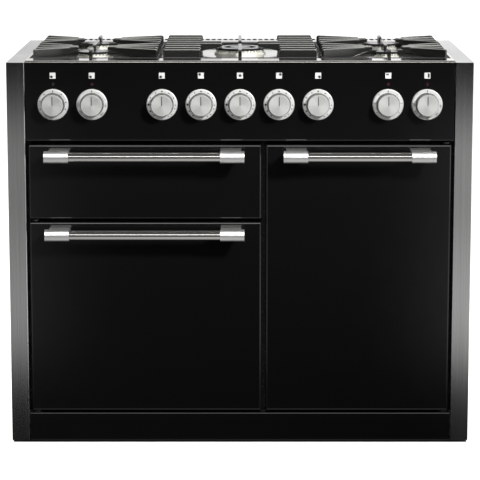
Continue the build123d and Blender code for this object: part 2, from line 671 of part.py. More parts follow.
def gas_taps():
    """Tap bodies clamped to the rail, each bored for its rotor and spindle."""
    front = FRONT + PANEL_WALL
    rotor = (FRONT + ROTOR_FRONT - FIT, FRONT + ROTOR_FRONT + ROTOR_LENGTH + FIT)
    rail_z = KNOB_Z - RAIL_DROP
    taps = []
    for x in GAS_X.values():
        body = block((x - TAP_SIDE / 2, x + TAP_SIDE / 2), (front, front + TAP_LENGTH),
                     (rail_z, KNOB_Z + TAP_SIDE / 2))
        outlet_z = (KNOB_Z, KNOB_Z + TAP_SIDE / 2 + OUTLET_LENGTH)
        body += rod_z(OUTLET_RADIUS, x, rotor[1] + OUTLET_RADIUS, outlet_z)
        body -= rod_y(ROTOR_RADIUS + FIT, x, rotor, KNOB_Z)
        body -= rod_y(SPINDLE_SIDE - SHEET / 2, x, (front - SHEET, rotor[0] + SHEET), KNOB_Z)
        body -= rod_x(RAIL_RADIUS + RAIL_CLEAR, (x - TAP_SIDE, x + TAP_SIDE), FRONT + RAIL_DEPTH, rail_z)
        taps.append(body)
    return Compound(taps)


def tap_rotor(x):
    """Plug of a gas tap, with the square socket that the spindle slides in."""
    y = (FRONT + ROTOR_FRONT, FRONT + ROTOR_FRONT + ROTOR_LENGTH)
    half = SPINDLE_SIDE / 2 + SPINDLE_FIT
    depth = FRONT + SPINDLE_LENGTH + PUSH + SPINDLE_FIT
    socket = block((x - half, x + half), (y[0] - SHEET, depth), (KNOB_Z - half, KNOB_Z + half))
    return rod_y(ROTOR_RADIUS, x, y, KNOB_Z) - socket


def knob_cap(x):
    """Spun metal knob with a chamfered rim and a pointer groove from the middle to the top."""
    back = FRONT - KNOB_GAP
    front = back - KNOB_LENGTH
    cap = turned_y([(0, back), (KNOB_RADIUS, back), (KNOB_FACE_RADIUS, front + KNOB_EDGE),
                    (KNOB_FACE_RADIUS - KNOB_EDGE, front), (0, front)], x, KNOB_Z)
    return cap - block((x - POINTER_WIDTH / 2, x + POINTER_WIDTH / 2),
                       (front - SHEET, front + POINTER_DEPTH), (KNOB_Z, KNOB_Z + POINTER_LENGTH))


def gas_knob(x):
    """Knob on the square spindle of a gas tap."""
    half = SPINDLE_SIDE / 2
    spindle = block((x - half, x + half), (FRONT - KNOB_GAP, FRONT + SPINDLE_LENGTH),
                    (KNOB_Z - half, KNOB_Z + half))
    return knob_cap(x) + spindle


def electric_knob(x):
    """Knob on the round spindle of a rotary switch."""
    return knob_cap(x) + rod_y(SHAFT_RADIUS, x, (FRONT - KNOB_GAP, FRONT + SHAFT_LENGTH), KNOB_Z)


def rotary_switches():
    """Oven, thermostat and grill switches, hung on the fascia by their bushes."""
    front = FRONT + PANEL_WALL
    switches = []
    for x in ELECTRIC_X.values():
        half = SWITCH_SIDE / 2
        body = block((x - half, x + half),
                     (front + SWITCH_BUSH_LENGTH, front + SWITCH_BUSH_LENGTH + SWITCH_LENGTH),
                     (KNOB_Z - half, KNOB_Z + half - FASCIA_EDGE))
        body += rod_y(SWITCH_BUSH + SHEET, x, (front, front + 2 * SWITCH_BUSH_LENGTH), KNOB_Z)
        body -= rod_y(SHAFT_RADIUS + FIT, x, (front - SHEET, FRONT + SHAFT_LENGTH + FIT), KNOB_Z)
        switches.append(body)
    return Compound(switches)


# Ovens

def oven_cavity(mouth_x, mouth_z, rear, flange_x, flange_z):
    """Enamelled box, open at the front, with the flange that ties it into the chassis."""
    y = (FLANGE, rear + SHEET)
    shell = block(inset(mouth_x, -SHEET), y, inset(mouth_z, -SHEET))
    shell += block(flange_x, (FLANGE, FLANGE_BACK), flange_z)
    return shell - block(mouth_x, (FLANGE - SHEET, rear), mouth_z)


def with_ledges(cavity, mouth_x, floor, count):
    """Pressed shelf ledges on both side walls of an oven."""
    y = (FLANGE + LEDGE_FRONT, FLANGE + LEDGE_FRONT + LEDGE_LENGTH)
    for level in range(count):
        z = ledge_top(floor, level)
        cavity += block((mouth_x[0] - SHEET / 2, mouth_x[0] + LEDGE_WIDTH), y, (z - LEDGE_THICK, z))
        cavity += block((mouth_x[1] - LEDGE_WIDTH, mouth_x[1] + SHEET / 2), y, (z - LEDGE_THICK, z))
    return cavity


def ledge_top(floor, level):
    return floor + LEDGE_PITCH * (level + 1)


def shaft_hole(mouth_x, mouth_z):
    """Cutter for the fan shaft through an oven's rear wall."""
    return rod_y(SHAFT_HOLE, middle(mouth_x), (OVEN_REAR - SHEET, OVEN_REAR + 2 * SHEET), middle(mouth_z))


def left_oven_cavity():
    box = oven_cavity(LEFT_OVEN_X, LEFT_OVEN_Z, OVEN_REAR, (-FLANGE_EDGE, MULLION), (BASE_TOP, FLANGE_SPLIT))
    box -= shaft_hole(LEFT_OVEN_X, LEFT_OVEN_Z)
    return with_ledges(box, LEFT_OVEN_X, OVEN_FLOOR, LEFT_LEDGE_COUNT)


def right_oven_cavity():
    flange_x, flange_z = (MULLION, FLANGE_EDGE), (BASE_TOP, FASCIA_BOTTOM)
    box = oven_cavity(RIGHT_OVEN_X, RIGHT_OVEN_Z, OVEN_REAR, flange_x, flange_z)
    box -= shaft_hole(RIGHT_OVEN_X, RIGHT_OVEN_Z)
    return with_ledges(box, RIGHT_OVEN_X, OVEN_FLOOR, RIGHT_LEDGE_COUNT)


def grill_cavity():
    return oven_cavity(GRILL_X, GRILL_Z, GRILL_REAR, (-FLANGE_EDGE, MULLION), (FLANGE_SPLIT, FASCIA_BOTTOM))


def wire_shelf(mouth_x, z):
    """Chromed oven shelf: a rod frame with cross wires."""
    x = inset(mouth_x, SHELF_SIDE_CLEAR)
    y = (FLANGE + LEDGE_FRONT, FLANGE + LEDGE_FRONT + SHELF_DEPTH)
    height = (z, z + SHELF_ROD)
    shelf = block(x, y, height) - block(inset(x, SHELF_ROD), inset(y, SHELF_ROD), inset(height, -SHEET))
    step = (x[1] - x[0]) / (SHELF_WIRES + 1)
    half = SHELF_WIRE / 2
    wires = []
    for place in range(1, SHELF_WIRES + 1):
        wire_x = x[0] + step * place
        wire = (wire_x - half, wire_x + half)
        wires.append(block(wire, inset(y, SHELF_ROD / 2), (z + half, z + SHELF_ROD)))
    return shelf + wires


def oven_shelves():
    """Loose shelves lying on the ledges of both ovens."""
    places = [(LEFT_OVEN_X, level) for level in SHELF_LEVELS_LEFT]
    places += [(RIGHT_OVEN_X, level) for level in SHELF_LEVELS_RIGHT]
    return Compound([wire_shelf(mouth_x, ledge_top(OVEN_FLOOR, level)) for mouth_x, level in places])


def oven_seals():
    """Rubber seal round each oven mouth, clipped to the front flange."""
    y = (FLANGE - SEAL_THICK, FLANGE)
    seals = []
    for x, z in ((LEFT_OVEN_X, LEFT_OVEN_Z), (RIGHT_OVEN_X, RIGHT_OVEN_Z)):
        edge = SEAL_OFFSET + SEAL_WIDTH
        ring = block(inset(x, -edge), y, inset(z, -edge))
        seals.append(ring - block(inset(x, -SEAL_OFFSET), inset(y, -SHEET), inset(z, -SEAL_OFFSET)))
    return Compound(seals)


OVENS = ((LEFT_OVEN_X, LEFT_OVEN_Z), (RIGHT_OVEN_X, RIGHT_OVEN_Z))


def fan_covers():
    """Baffle over each fan: a pressed pan with an inlet grille and side outlets."""
    covers = []
    for x, z in OVENS:
        centre_x, centre_z = middle(x), middle(z)
        half = FAN_COVER_SIDE / 2
        span_x, span_z = (centre_x - half, centre_x + half), (centre_z - half, centre_z + half)
        y = (OVEN_REAR - FAN_COVER_DEPTH, OVEN_REAR)
        pan = block(span_x, y, span_z) - block(inset(span_x, SHEET), (y[0] + SHEET, y[1] + SHEET),
                                               inset(span_z, SHEET))
        rows = int(FAN_GRILLE_RADIUS / FAN_GRILLE_PITCH)
        for row in range(-rows, rows + 1):
            rise = row * FAN_GRILLE_PITCH
            reach = math.sqrt(FAN_GRILLE_RADIUS ** 2 - rise ** 2)
            pan -= block((centre_x - reach, centre_x + reach), (y[0] - SHEET, y[0] + 2 * SHEET),
                         (centre_z + rise - FAN_GRILLE_SLOT / 2, centre_z + rise + FAN_GRILLE_SLOT / 2))
        outlet_y = (middle(y) - FAN_OUTLET_WIDTH / 2, middle(y) + FAN_OUTLET_WIDTH / 2)
        pan -= block(inset(span_x, -SHEET), outlet_y,
                     (centre_z - FAN_OUTLET_LENGTH / 2, centre_z + FAN_OUTLET_LENGTH / 2))
        covers.append(pan)
    return Compound(covers)


def oven_fan(mouth_x, mouth_z):
    """Circulation fan: hub, back plate and radial blades on its motor shaft."""
    x, z = middle(mouth_x), middle(mouth_z)
    back = OVEN_REAR - FAN_WALL_GAP
    fan = rod_y(FAN_RADIUS, x, (back - SHEET, back), z)
    fan += rod_y(FAN_HUB, x, (back - FAN_WIDTH, back), z)
    fan += rod_y(FAN_SHAFT, x, (back - SHEET, OVEN_REAR + SHEET + FAN_SHAFT_ENGAGE), z)
    half = SHEET / 2
    blade = block((FAN_HUB - SHEET, FAN_RADIUS), (back - FAN_WIDTH, back - half), (-half, half))
    blades = [Pos(x, 0, z) * Rot(0, 360 / FAN_BLADES * turn, 0) * blade for turn in range(FAN_BLADES)]
    return fan + blades


def fan_motors():
    """Fan motors bolted behind the ovens, bored for their shafts."""
    front = OVEN_REAR + SHEET
    motors = []
    for x, z in OVENS:
        motor = rod_y(MOTOR_RADIUS, middle(x), (front, front + MOTOR_LENGTH), middle(z))
        bore = (front - SHEET, front + FAN_SHAFT_ENGAGE + SHEET)
        motors.append(motor - rod_y(FAN_SHAFT + FIT, middle(x), bore, middle(z)))
    return Compound(motors)


def heating_elements():
    """Sheathed elements: a ring round each fan and a folded one in the grill roof."""
    elements = []
    section = RegularPolygon(ELEMENT_RADIUS, ELEMENT_SIDES)
    ring_y = OVEN_REAR - FAN_COVER_DEPTH / 2
    for x, z in OVENS:
        ring = Pos(middle(x), 0, middle(z)) * revolve(Pos(RING_RADIUS, ring_y) * section, Axis.Y)
        for side in (-1, 1):
            leg_x = middle(x) + side * RING_RADIUS
            ring += extrude(Pos(leg_x, ring_y, middle(z)) * Rot(-90, 0, 0) * section, OVEN_REAR - ring_y)
        elements.append(ring)
    z = GRILL_Z[1] - GRILL_ELEMENT_DROP
    first = middle(GRILL_X) - GRILL_ELEMENT_PITCH * (GRILL_ELEMENT_PASSES - 1) / 2
    front, back = GRILL_REAR - GRILL_ELEMENT_LENGTH - PAN_FRONT, GRILL_REAR - PAN_FRONT
    points = []
    for fold in range(GRILL_ELEMENT_PASSES):
        x = first + fold * GRILL_ELEMENT_PITCH
        ends = (back, front) if fold % 2 == 0 else (front, back)
        points += [(x, end, z) for end in ends]
    points[0] = (points[0][0], GRILL_REAR, z)
    points[-1] = (points[-1][0], GRILL_REAR, z)
    route = FilletPolyline(*points, radius=GRILL_ELEMENT_PITCH / 2 - SHEET)
    elements.append(sweep(Plane(origin=points[0], z_dir=(0, -1, 0)) * section, path=route))
    return Compound(elements)


# Doors and drawer front

def door_panel(x, z):
    """Enamelled outer panel: a face with its four edges folded back."""
    panel = block(x, (FRONT, PANEL_BACK), z)
    panel = fillet(panel.edges().group_by(Axis.Y)[0], DOOR_EDGE)
    return panel - block(inset(x, PANEL_WALL), (FRONT + PANEL_WALL, PANEL_BACK + SHEET), inset(z, PANEL_WALL))


def hinged_panel(x, z, pivot_x):
    """Door panel with the two pin holes of its side hinge."""
    hole = rod_z(PIN_RADIUS + FIT, pivot_x, FRONT + PIVOT_INSET, inset(z, -SHEET))
    return door_panel(x, z) - hole


def door_liner(x, z, mouth_x, mouth_z):
    """Inner door sheet, dished inside the seal line."""
    sheet = block(inset(x, LINER_INSET), (PANEL_BACK, LINER_BACK), inset(z, LINER_INSET))
    width = mouth_x[1] - mouth_x[0] - 2 * DISH_MARGIN
    height = mouth_z[1] - mouth_z[0] - 2 * DISH_MARGIN
    back = Plane(origin=(middle(mouth_x), LINER_BACK, middle(mouth_z)), x_dir=(1, 0, 0), z_dir=(0, -1, 0))
    rim = Rectangle(width + 2 * SHEET, height + 2 * SHEET)
    bulge = extrude(back * rim, DISH_DEPTH + SHEET, taper=DISH_DRAFT)
    dish = extrude(back * Rectangle(width, height), DISH_DEPTH, taper=DISH_DRAFT)
    return sheet + bulge - dish


def handle_x(door_x):
    return inset(door_x, HANDLE_MARGIN)


def handle_bar(door_x, door_top):
    """Polished bar held in the two end sleeves."""
    x = inset(handle_x(door_x), SLEEVE_LENGTH - BAR_ENGAGE)
    return rod_x(BAR_RADIUS, x, FRONT - HANDLE_STANDOFF, door_top - HANDLE_DROP)


def handle_end(end_x, inward, door_top):
    """Sleeve with a grooved end cap and the bracket that carries it on the door."""
    axis_y, axis_z = FRONT - HANDLE_STANDOFF, door_top - HANDLE_DROP
    groove = (CAP_LENGTH, CAP_LENGTH + GROOVE)
    outer, deep = SLEEVE_RADIUS, SLEEVE_RADIUS - GROOVE
    profile = Polyline((0, 0), (0, outer), (groove[0], outer), (groove[0], deep), (groove[1], deep),
                       (groove[1], outer), (SLEEVE_LENGTH, outer), (SLEEVE_LENGTH, 0), close=True)
    sleeve = revolve(make_face(profile), Axis.X)
    bracket_x = (groove[1], groove[1] + BRACKET_WIDTH)
    sleeve += block(bracket_x, (0, HANDLE_STANDOFF), (-BRACKET_HEIGHT / 2, BRACKET_HEIGHT / 2))
    sleeve -= rod_x(BAR_RADIUS + FIT, (SLEEVE_LENGTH - BAR_ENGAGE, SLEEVE_LENGTH + SHEET), 0, 0)
    if inward < 0:
        sleeve = mirror(sleeve, about=Plane.YZ)
    return Pos(end_x, axis_y, axis_z) * sleeve


def handle_ends(door_x, door_top):
    low, high = handle_x(door_x)
    return Compound([handle_end(low, 1, door_top), handle_end(high, -1, door_top)])


def pivots():
    return {"left": LEFT_DOOR_X[0] + PIVOT_INSET, "right": RIGHT_DOOR_X[1] - PIVOT_INSET}


def hinge_brackets():
    """Hinge plates on the front flange, above and below each door, with their pins."""
    brackets = []
    doors = (("left", LEFT_DOOR_Z, DRAWER_GAP), ("right", RIGHT_DOOR_Z, FASCIA_GAP))
    for side, z, gap_above in doors:
        x, y = pivots()[side], FRONT + PIVOT_INSET
        below = z[0] - PLINTH_GAP / 2
        above = z[1] + gap_above / 2
        for level, pin in ((below, (below, z[0] + PIN_ENGAGE)), (above, (z[1] - PIN_ENGAGE, above))):
            plate_z = (level - HINGE_PLATE / 2, level + HINGE_PLATE / 2)
            plate = rod_z(HINGE_EYE, x, y, plate_z)
            plate += block((x - HINGE_EYE, x + HINGE_EYE), (y, FLANGE), plate_z)
            brackets.append(plate + rod_z(PIN_RADIUS, x, y, pin))
    return Compound(brackets)


# Grill drawer

def runner_profile(wall_x, inward, start, height_inset):
    """C section of a telescopic rail member, open towards the drawer."""
    low, high = RUNNER_Z[0] + height_inset, RUNNER_Z[1] - height_inset
    back = wall_x + inward * start
    lip = wall_x + inward * (RUNNER_WIDTH - start / MIDDLE_INSET * SLIDE_FIT)
    web = back + inward * SHEET
    return [(back, low), (lip, low), (lip, low + SHEET), (web, low + SHEET), (web, high - SHEET),
            (lip, high - SHEET), (lip, high), (back, high)]


def runner_pair(start, height_inset):
    sides = ((GRILL_X[0], 1), (GRILL_X[1], -1))
    return Compound([along_y(runner_profile(wall, inward, start, height_inset), RUNNER_Y)
                     for wall, inward in sides])


def runner_rails():
    """Fixed rail members on the grill's side walls."""
    return runner_pair(0, 0)


def runner_middles():
    """Middle rail members, which travel half as far as the drawer."""
    return runner_pair(MIDDLE_INSET, MIDDLE_INSET)


def grill_carriage():
    """Welded slide of the grill: front plate, two rail bars with pan ledges and a rear bar."""
    plate = block(inset(LEFT_DOOR_X, LINER_INSET), (PANEL_BACK, LINER_BACK), inset(DRAWER_Z, LINER_INSET))
    bar_z = (CARRY_Z, RUNNER_Z[1] - BAR_INSET)
    frame = plate
    for wall, inward in ((GRILL_X[0], 1), (GRILL_X[1], -1)):
        bar = sorted((wall + inward * BAR_INSET, wall + inward * BAR_INNER))
        ledge = sorted((wall + inward * BAR_INSET, wall + inward * (BAR_INNER + LEDGE_CARRY)))
        length = (LINER_BACK - SHEET / 2, RUNNER_Y[1])
        frame += block(bar, length, bar_z)
        frame += block(ledge, length, (CARRY_Z, CARRY_Z + SHEET))
    rear = (RUNNER_Y[1] - REAR_BAR, RUNNER_Y[1])
    return frame + block(inset(GRILL_X, BAR_INSET), rear, (CARRY_Z, CARRY_Z + REAR_BAR))


def pan_span():
    """Plan of the grill pan's rim: between the rail bars, behind the carriage plate."""
    x = inset(GRILL_X, BAR_INNER + PAN_CLEAR)
    return x, (LINER_BACK + PAN_FRONT, LINER_BACK + PAN_FRONT + PAN_DEPTH)


def grill_pan():
    """Enamelled tray hung by its rim on the carriage ledges."""
    x, y = pan_span()
    rim = (CARRY_Z + SHEET, CARRY_Z + 2 * SHEET)
    body_x = inset(x, LEDGE_CARRY + PAN_CLEAR)
    body_y = inset(y, PAN_RIM)
    floor = rim[1] - PAN_DROP
    pan = block(x, y, rim) + block(body_x, body_y, (floor, rim[1]))
    return pan - block(inset(body_x, SHEET), inset(body_y, SHEET), (floor + SHEET, rim[1] + SHEET))


def grill_trivet():
    """Wire rack standing in the grill pan on two folded runners."""
    x, y = pan_span()
    x = inset(x, LEDGE_CARRY + PAN_CLEAR + SHEET + TRIVET_CLEAR)
    y = inset(y, PAN_RIM + SHEET + TRIVET_CLEAR)
    floor = CARRY_Z + 3 * SHEET - PAN_DROP
    top = CARRY_Z + 2 * SHEET
    half = TRIVET_WIRE / 2
    rack = block((x[0], x[0] + TRIVET_WIRE), y, (floor, top))
    rack += block((x[1] - TRIVET_WIRE, x[1]), y, (floor, top))
    step = (y[1] - y[0] - TRIVET_WIRE) / (TRIVET_WIRES - 1)
    wires = []
    for place in range(TRIVET_WIRES):
        wire_y = y[0] + half + step * place
        wires.append(block(x, (wire_y - half, wire_y + half), (top - TRIVET_WIRE, top)))
    return rack + wires


def all_nodes():
    """Every piece of the cooker, by the name of its node."""
    trim, panel = side_trim(), side_panel()
    right_support = pan_support_right()
    nodes = {
        "base_frame": base_frame(),
        "levelling_feet": levelling_feet(),
        "left_side_panel": mirror(panel, about=Plane.YZ),
        "right_side_panel": panel,
        "side_trims": Compound([mirror(trim, about=Plane.YZ), trim]),
        "back_panel": back_panel(),
        "plinth": plinth(),
        "fascia_panel": fascia_panel(),
        "knob_bezels": knob_bezels(),
        "indicator_lenses": indicator_lenses(),
        "hob_top": hob_top(),
        "burner_heads": burner_heads(),
        "burner_caps": burner_caps(),
        "pan_support_left": mirror(right_support, about=Plane.YZ),
        "pan_support_centre": pan_support_centre(),
        "pan_support_right": right_support,
        "gas_rail": gas_rail(),
        "gas_taps": gas_taps(),
        "rotary_switches": rotary_switches(),
        "left_oven_cavity": left_oven_cavity(),
        "right_oven_cavity": right_oven_cavity(),
        "grill_cavity": grill_cavity(),
        "oven_shelves": oven_shelves(),
        "oven_seals": oven_seals(),
        "fan_covers": fan_covers(),
        "fan_motors": fan_motors(),
        "heating_elements": heating_elements(),
        "left_fan": oven_fan(LEFT_OVEN_X, LEFT_OVEN_Z),
        "right_fan": oven_fan(RIGHT_OVEN_X, RIGHT_OVEN_Z),
        "hinge_brackets": hinge_brackets(),
        "left_door_panel": hinged_panel(LEFT_DOOR_X, LEFT_DOOR_Z, pivots()["left"]),
        "left_door_liner": door_liner(LEFT_DOOR_X, LEFT_DOOR_Z, LEFT_OVEN_X, LEFT_OVEN_Z),
        "left_handle_bar": handle_bar(LEFT_DOOR_X, LOWER_DOOR_TOP),
        "left_handle_ends": handle_ends(LEFT_DOOR_X, LOWER_DOOR_TOP),
        "right_door_panel": hinged_panel(RIGHT_DOOR_X, RIGHT_DOOR_Z, pivots()["right"]),
        "right_door_liner": door_liner(RIGHT_DOOR_X, RIGHT_DOOR_Z, RIGHT_OVEN_X, RIGHT_OVEN_Z),
        "right_handle_bar": handle_bar(RIGHT_DOOR_X, DOOR_TOP),
        "right_handle_ends": handle_ends(RIGHT_DOOR_X, DOOR_TOP),
        "grill_front_panel": door_panel(LEFT_DOOR_X, DRAWER_Z),
        "grill_handle_bar": handle_bar(LEFT_DOOR_X, DOOR_TOP),
        "grill_handle_ends": handle_ends(LEFT_DOOR_X, DOOR_TOP),
        "grill_carriage": grill_carriage(),
        "grill_pan": grill_pan(),
        "grill_trivet": grill_trivet(),
        "runner_rails": runner_rails(),
        "runner_middles": runner_middles(),
    }
    for place, x in GAS_X.items():
        nodes[f"tap_rotor_{place}"] = tap_rotor(x)
        nodes[f"gas_knob_{place}"] = gas_knob(x)
    for name, x in ELECTRIC_X.items():
        nodes[name] = electric_knob(x)
    return nodes


os.makedirs("parts", exist_ok=True)
for name, shape in all_nodes().items():
    export_step(shape, f"parts/{name}.step")
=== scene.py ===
import math

import bmesh
import bpy
from mathutils import Matrix, Vector


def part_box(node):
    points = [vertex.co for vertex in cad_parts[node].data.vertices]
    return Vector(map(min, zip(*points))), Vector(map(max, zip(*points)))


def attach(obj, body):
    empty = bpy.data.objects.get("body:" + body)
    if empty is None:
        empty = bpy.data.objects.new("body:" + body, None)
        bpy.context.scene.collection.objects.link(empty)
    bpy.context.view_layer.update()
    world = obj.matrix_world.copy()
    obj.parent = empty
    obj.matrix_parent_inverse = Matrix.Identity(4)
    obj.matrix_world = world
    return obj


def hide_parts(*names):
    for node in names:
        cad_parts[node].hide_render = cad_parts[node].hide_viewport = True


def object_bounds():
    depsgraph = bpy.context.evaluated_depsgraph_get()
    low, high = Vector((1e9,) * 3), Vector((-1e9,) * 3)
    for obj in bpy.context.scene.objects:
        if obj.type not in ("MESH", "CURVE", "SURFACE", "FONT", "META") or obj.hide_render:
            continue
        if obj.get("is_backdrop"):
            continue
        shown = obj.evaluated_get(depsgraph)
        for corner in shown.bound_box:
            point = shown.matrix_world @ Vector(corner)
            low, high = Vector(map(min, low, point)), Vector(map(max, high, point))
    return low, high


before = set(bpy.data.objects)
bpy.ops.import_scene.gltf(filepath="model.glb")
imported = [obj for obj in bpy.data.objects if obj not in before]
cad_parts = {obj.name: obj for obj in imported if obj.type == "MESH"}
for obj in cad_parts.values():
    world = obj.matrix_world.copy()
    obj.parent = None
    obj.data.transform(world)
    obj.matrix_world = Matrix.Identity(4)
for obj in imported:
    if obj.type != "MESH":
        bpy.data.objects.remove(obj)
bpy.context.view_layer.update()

# Base tray and screw feet
# The tray under the ovens is folded from galvanised sheet and spot-welded; four screw feet carry the cooker.
# Hot-dip galvanising freezes in flat crystals a centimetre or so wide, each a slightly different grey.


def linear(code):
    """Scene-linear colour of an sRGB hex code."""
    parts = [int(code[start:start + 2], 16) / 255 for start in (1, 3, 5)]
    return [part / 12.92 if part <= 0.04045 else ((part + 0.055) / 1.055) ** 2.4 for part in parts] + [1.0]


def add_node(tree, kind, sockets=None, **settings):
    """Adds a shader node with its settings, and sets or links its input sockets."""
    made = tree.nodes.new(kind)
    for name, value in settings.items():
        setattr(made, name, value)
    for name, value in (sockets or {}).items():
        if isinstance(value, bpy.types.NodeSocket):
            tree.links.new(value, made.inputs[name])
        else:
            made.inputs[name].default_value = value
    return made


def new_finish(name, **constants):
    """A material with its tree, its surface shader set to some constants, and the piece's place in metres."""
    finish = bpy.data.materials.new(name)
    finish.use_nodes = True
    tree = finish.node_tree
    shader = tree.nodes["Principled BSDF"]
    for socket, value in constants.items():
        shader.inputs[socket.replace("_", " ")].default_value = value
    return finish, tree, shader, add_node(tree, "ShaderNodeTexCoord").outputs["Object"]


def dress(finish, *names):
    """Gives CAD nodes their finish."""
    for name in names:
        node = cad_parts[name]
        node.data.materials.clear()
        node.data.materials.append(finish)


SPANGLE_MM = 14
galvanised, tree, shader, place = new_finish("galvanised_sheet", Metallic=1.0)
spangle = add_node(tree, "ShaderNodeTexVoronoi", {"Vector": place, "Scale": 1000 / SPANGLE_MM})
greys = add_node(tree, "ShaderNodeMix", {"Factor": spangle.outputs["Color"], "A": linear("#8d9194"),
                                         "B": linear("#b3b6b8")}, data_type="RGBA")
gloss = add_node(tree, "ShaderNodeMapRange", {"Value": spangle.outputs["Color"], "To Min": 0.34,
                                              "To Max": 0.52})
tree.links.new(greys.outputs["Result"], shader.inputs["Base Color"])
tree.links.new(gloss.outputs["Result"], shader.inputs["Roughness"])

# Bright zinc plating, which handling leaves hazy in places, so that it shines unevenly.
HANDLING_MM = 9
zinc, tree, shader, place = new_finish("zinc_plated_steel", Metallic=1.0, Base_Color=linear("#b4b7ba"))
haze = add_node(tree, "ShaderNodeTexNoise", {"Vector": place, "Scale": 1000 / HANDLING_MM, "Detail": 4.0})
gloss = add_node(tree, "ShaderNodeMapRange", {"Value": haze.outputs["Fac"], "To Min": 0.26, "To Max": 0.46})
tree.links.new(gloss.outputs["Result"], shader.inputs["Roughness"])

dress(galvanised, "base_frame")
dress(zinc, "levelling_feet")

# Side panels
# Steel sheets screwed to the base and tucked behind the trims. The paint is a satin black powder coat,
# baked on, with the fine orange-peel skin that powder leaves.

PEEL_MM = 2.2
powder_coat, tree, shader, place = new_finish("black_powder_coat", Base_Color=linear("#161617"))
peel = add_node(tree, "ShaderNodeTexNoise", {"Vector": place, "Scale": 1000 / PEEL_MM, "Detail": 2.0})
gloss = add_node(tree, "ShaderNodeMapRange", {"Value": peel.outputs["Fac"], "To Min": 0.34, "To Max": 0.5})
skin = add_node(tree, "ShaderNodeBump", {"Height": peel.outputs["Fac"], "Strength": 0.25, "Distance": 0.0002})
tree.links.new(gloss.outputs["Result"], shader.inputs["Roughness"])
tree.links.new(skin.outputs["Normal"], shader.inputs["Normal"])
dress(powder_coat, "left_side_panel", "right_side_panel")

# Side trims
# A post and the rail along the hob, folded from one blank of brushed stainless steel on each side.
# The brushing runs up the post, so it spreads reflections sideways and keeps them sharp up and down.

BRUSH_WIDTH_MM = 3.0       # the real lines are a tenth of this, too fine to show from across a room
BRUSH_LENGTH_MM = 400
brushed, tree, shader, place = new_finish("brushed_stainless", Metallic=1.0, Anisotropic=1.0)
lines = add_node(tree, "ShaderNodeMapping", {"Vector": place, "Scale": (
    1000 / BRUSH_WIDTH_MM, 1000 / BRUSH_LENGTH_MM, 1000 / BRUSH_LENGTH_MM)})
grain = add_node(tree, "ShaderNodeTexNoise", {"Vector": lines.outputs["Vector"], "Scale": 1.0, "Detail": 3.0})
tone = add_node(tree, "ShaderNodeMix", {"Factor": grain.outputs["Fac"], "A": linear("#b6b6b5"),
                                        "B": linear("#d3d3d2")}, data_type="RGBA")
gloss = add_node(tree, "ShaderNodeMapRange", {"Value": grain.outputs["Fac"], "To Min": 0.12, "To Max": 0.16})
around = add_node(tree, "ShaderNodeTangent", direction_type="RADIAL", axis="Z")
tree.links.new(tone.outputs["Result"], shader.inputs["Base Color"])
tree.links.new(gloss.outputs["Result"], shader.inputs["Roughness"])
tree.links.new(around.outputs["Tangent"], shader.inputs["Tangent"])
dress(brushed, "side_trims")

# Back panel and its screws
# A galvanised sheet with cooling slots, screwed to the side flanges and to the base all round.
# Its screws are countersunk, so that they hardly stand off the back.


def add_piece(name, shape, finish, body):
    """Makes a bmesh into a named piece with a finish, riding on a body."""
    mesh = bpy.data.meshes.new(name)
    shape.to_mesh(mesh)
    shape.free()
    mesh.materials.append(finish)
    piece = bpy.data.objects.new(name, mesh)
    bpy.context.scene.collection.objects.link(piece)
    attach(piece, body)
    return piece


SCREW_SIDES = 12
SCREW_RADIUS = 0.0042
SCREW_HEIGHT = 0.0026
# Rings from the rim over the dome and down into the recess. Each has the reach of its odd and its even
# corners, as shares of the radius, and its rise as a share of the height.
SCREW_RINGS = ((1.0, 1.0, 0.0), (1.0, 1.0, 0.3), (0.86, 0.86, 0.78), (0.62, 0.62, 1.0),
               (0.5, 0.4, 1.0), (0.46, 0.36, 0.35))


def screw_heads(places, outward, height=SCREW_HEIGHT):
    """Domed screw heads with a star recess, each standing on a place and facing outward."""
    shape = bmesh.new()
    turn = Vector((0, 0, 1)).rotation_difference(Vector(outward)).to_matrix()
    for spot in places:
        before = None
        for odd, even, rise in SCREW_RINGS:
            ring = []
            for side in range(SCREW_SIDES):
                angle = math.tau * side / SCREW_SIDES
                reach = SCREW_RADIUS * (odd if side % 2 else even)
                point = Vector((reach * math.cos(angle), reach * math.sin(angle), height * rise))
                ring.append(shape.verts.new(Vector(spot) + turn @ point))
            if before:
                for side in range(SCREW_SIDES):
                    after = (side + 1) % SCREW_SIDES
                    shape.faces.new((before[side], before[after], ring[after], ring[side]))
            else:
                shape.faces.new(reversed(ring))
            before = ring
        shape.faces.new(before)
    return shape


def spread(first, last, count):
    """Evenly spaced values from first to last."""
    return [first + (last - first) * step / (count - 1) for step in range(count)]


dress(galvanised, "back_panel")
SCREWS_ACROSS = 8
SCREWS_UP = 6
SCREW_MARGIN = 0.012
SUNK_HEAD = 0.0002         # a countersunk head's edge above the sheet
low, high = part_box("back_panel")
rows = [(x, high.y, z) for z in (low.z + SCREW_MARGIN, high.z - SCREW_MARGIN)
        for x in spread(low.x + SCREW_MARGIN, high.x - SCREW_MARGIN, SCREWS_ACROSS)]
columns = [(x, high.y, z) for x in (low.x + SCREW_MARGIN, high.x - SCREW_MARGIN)
           for z in spread(low.z + SCREW_MARGIN, high.z - SCREW_MARGIN, SCREWS_UP)[1:-1]]
sunk = screw_heads(rows + columns, (0, 1, 0), height=SUNK_HEAD)
add_piece("back_panel_screws", sunk, zinc, "chassis")

# Oven boxes
# Welded steel boxes fired with grey vitreous enamel, which is glossy and flecked with paler specks.
# The fan covers are the same sheet and enamel, held by four screws each.

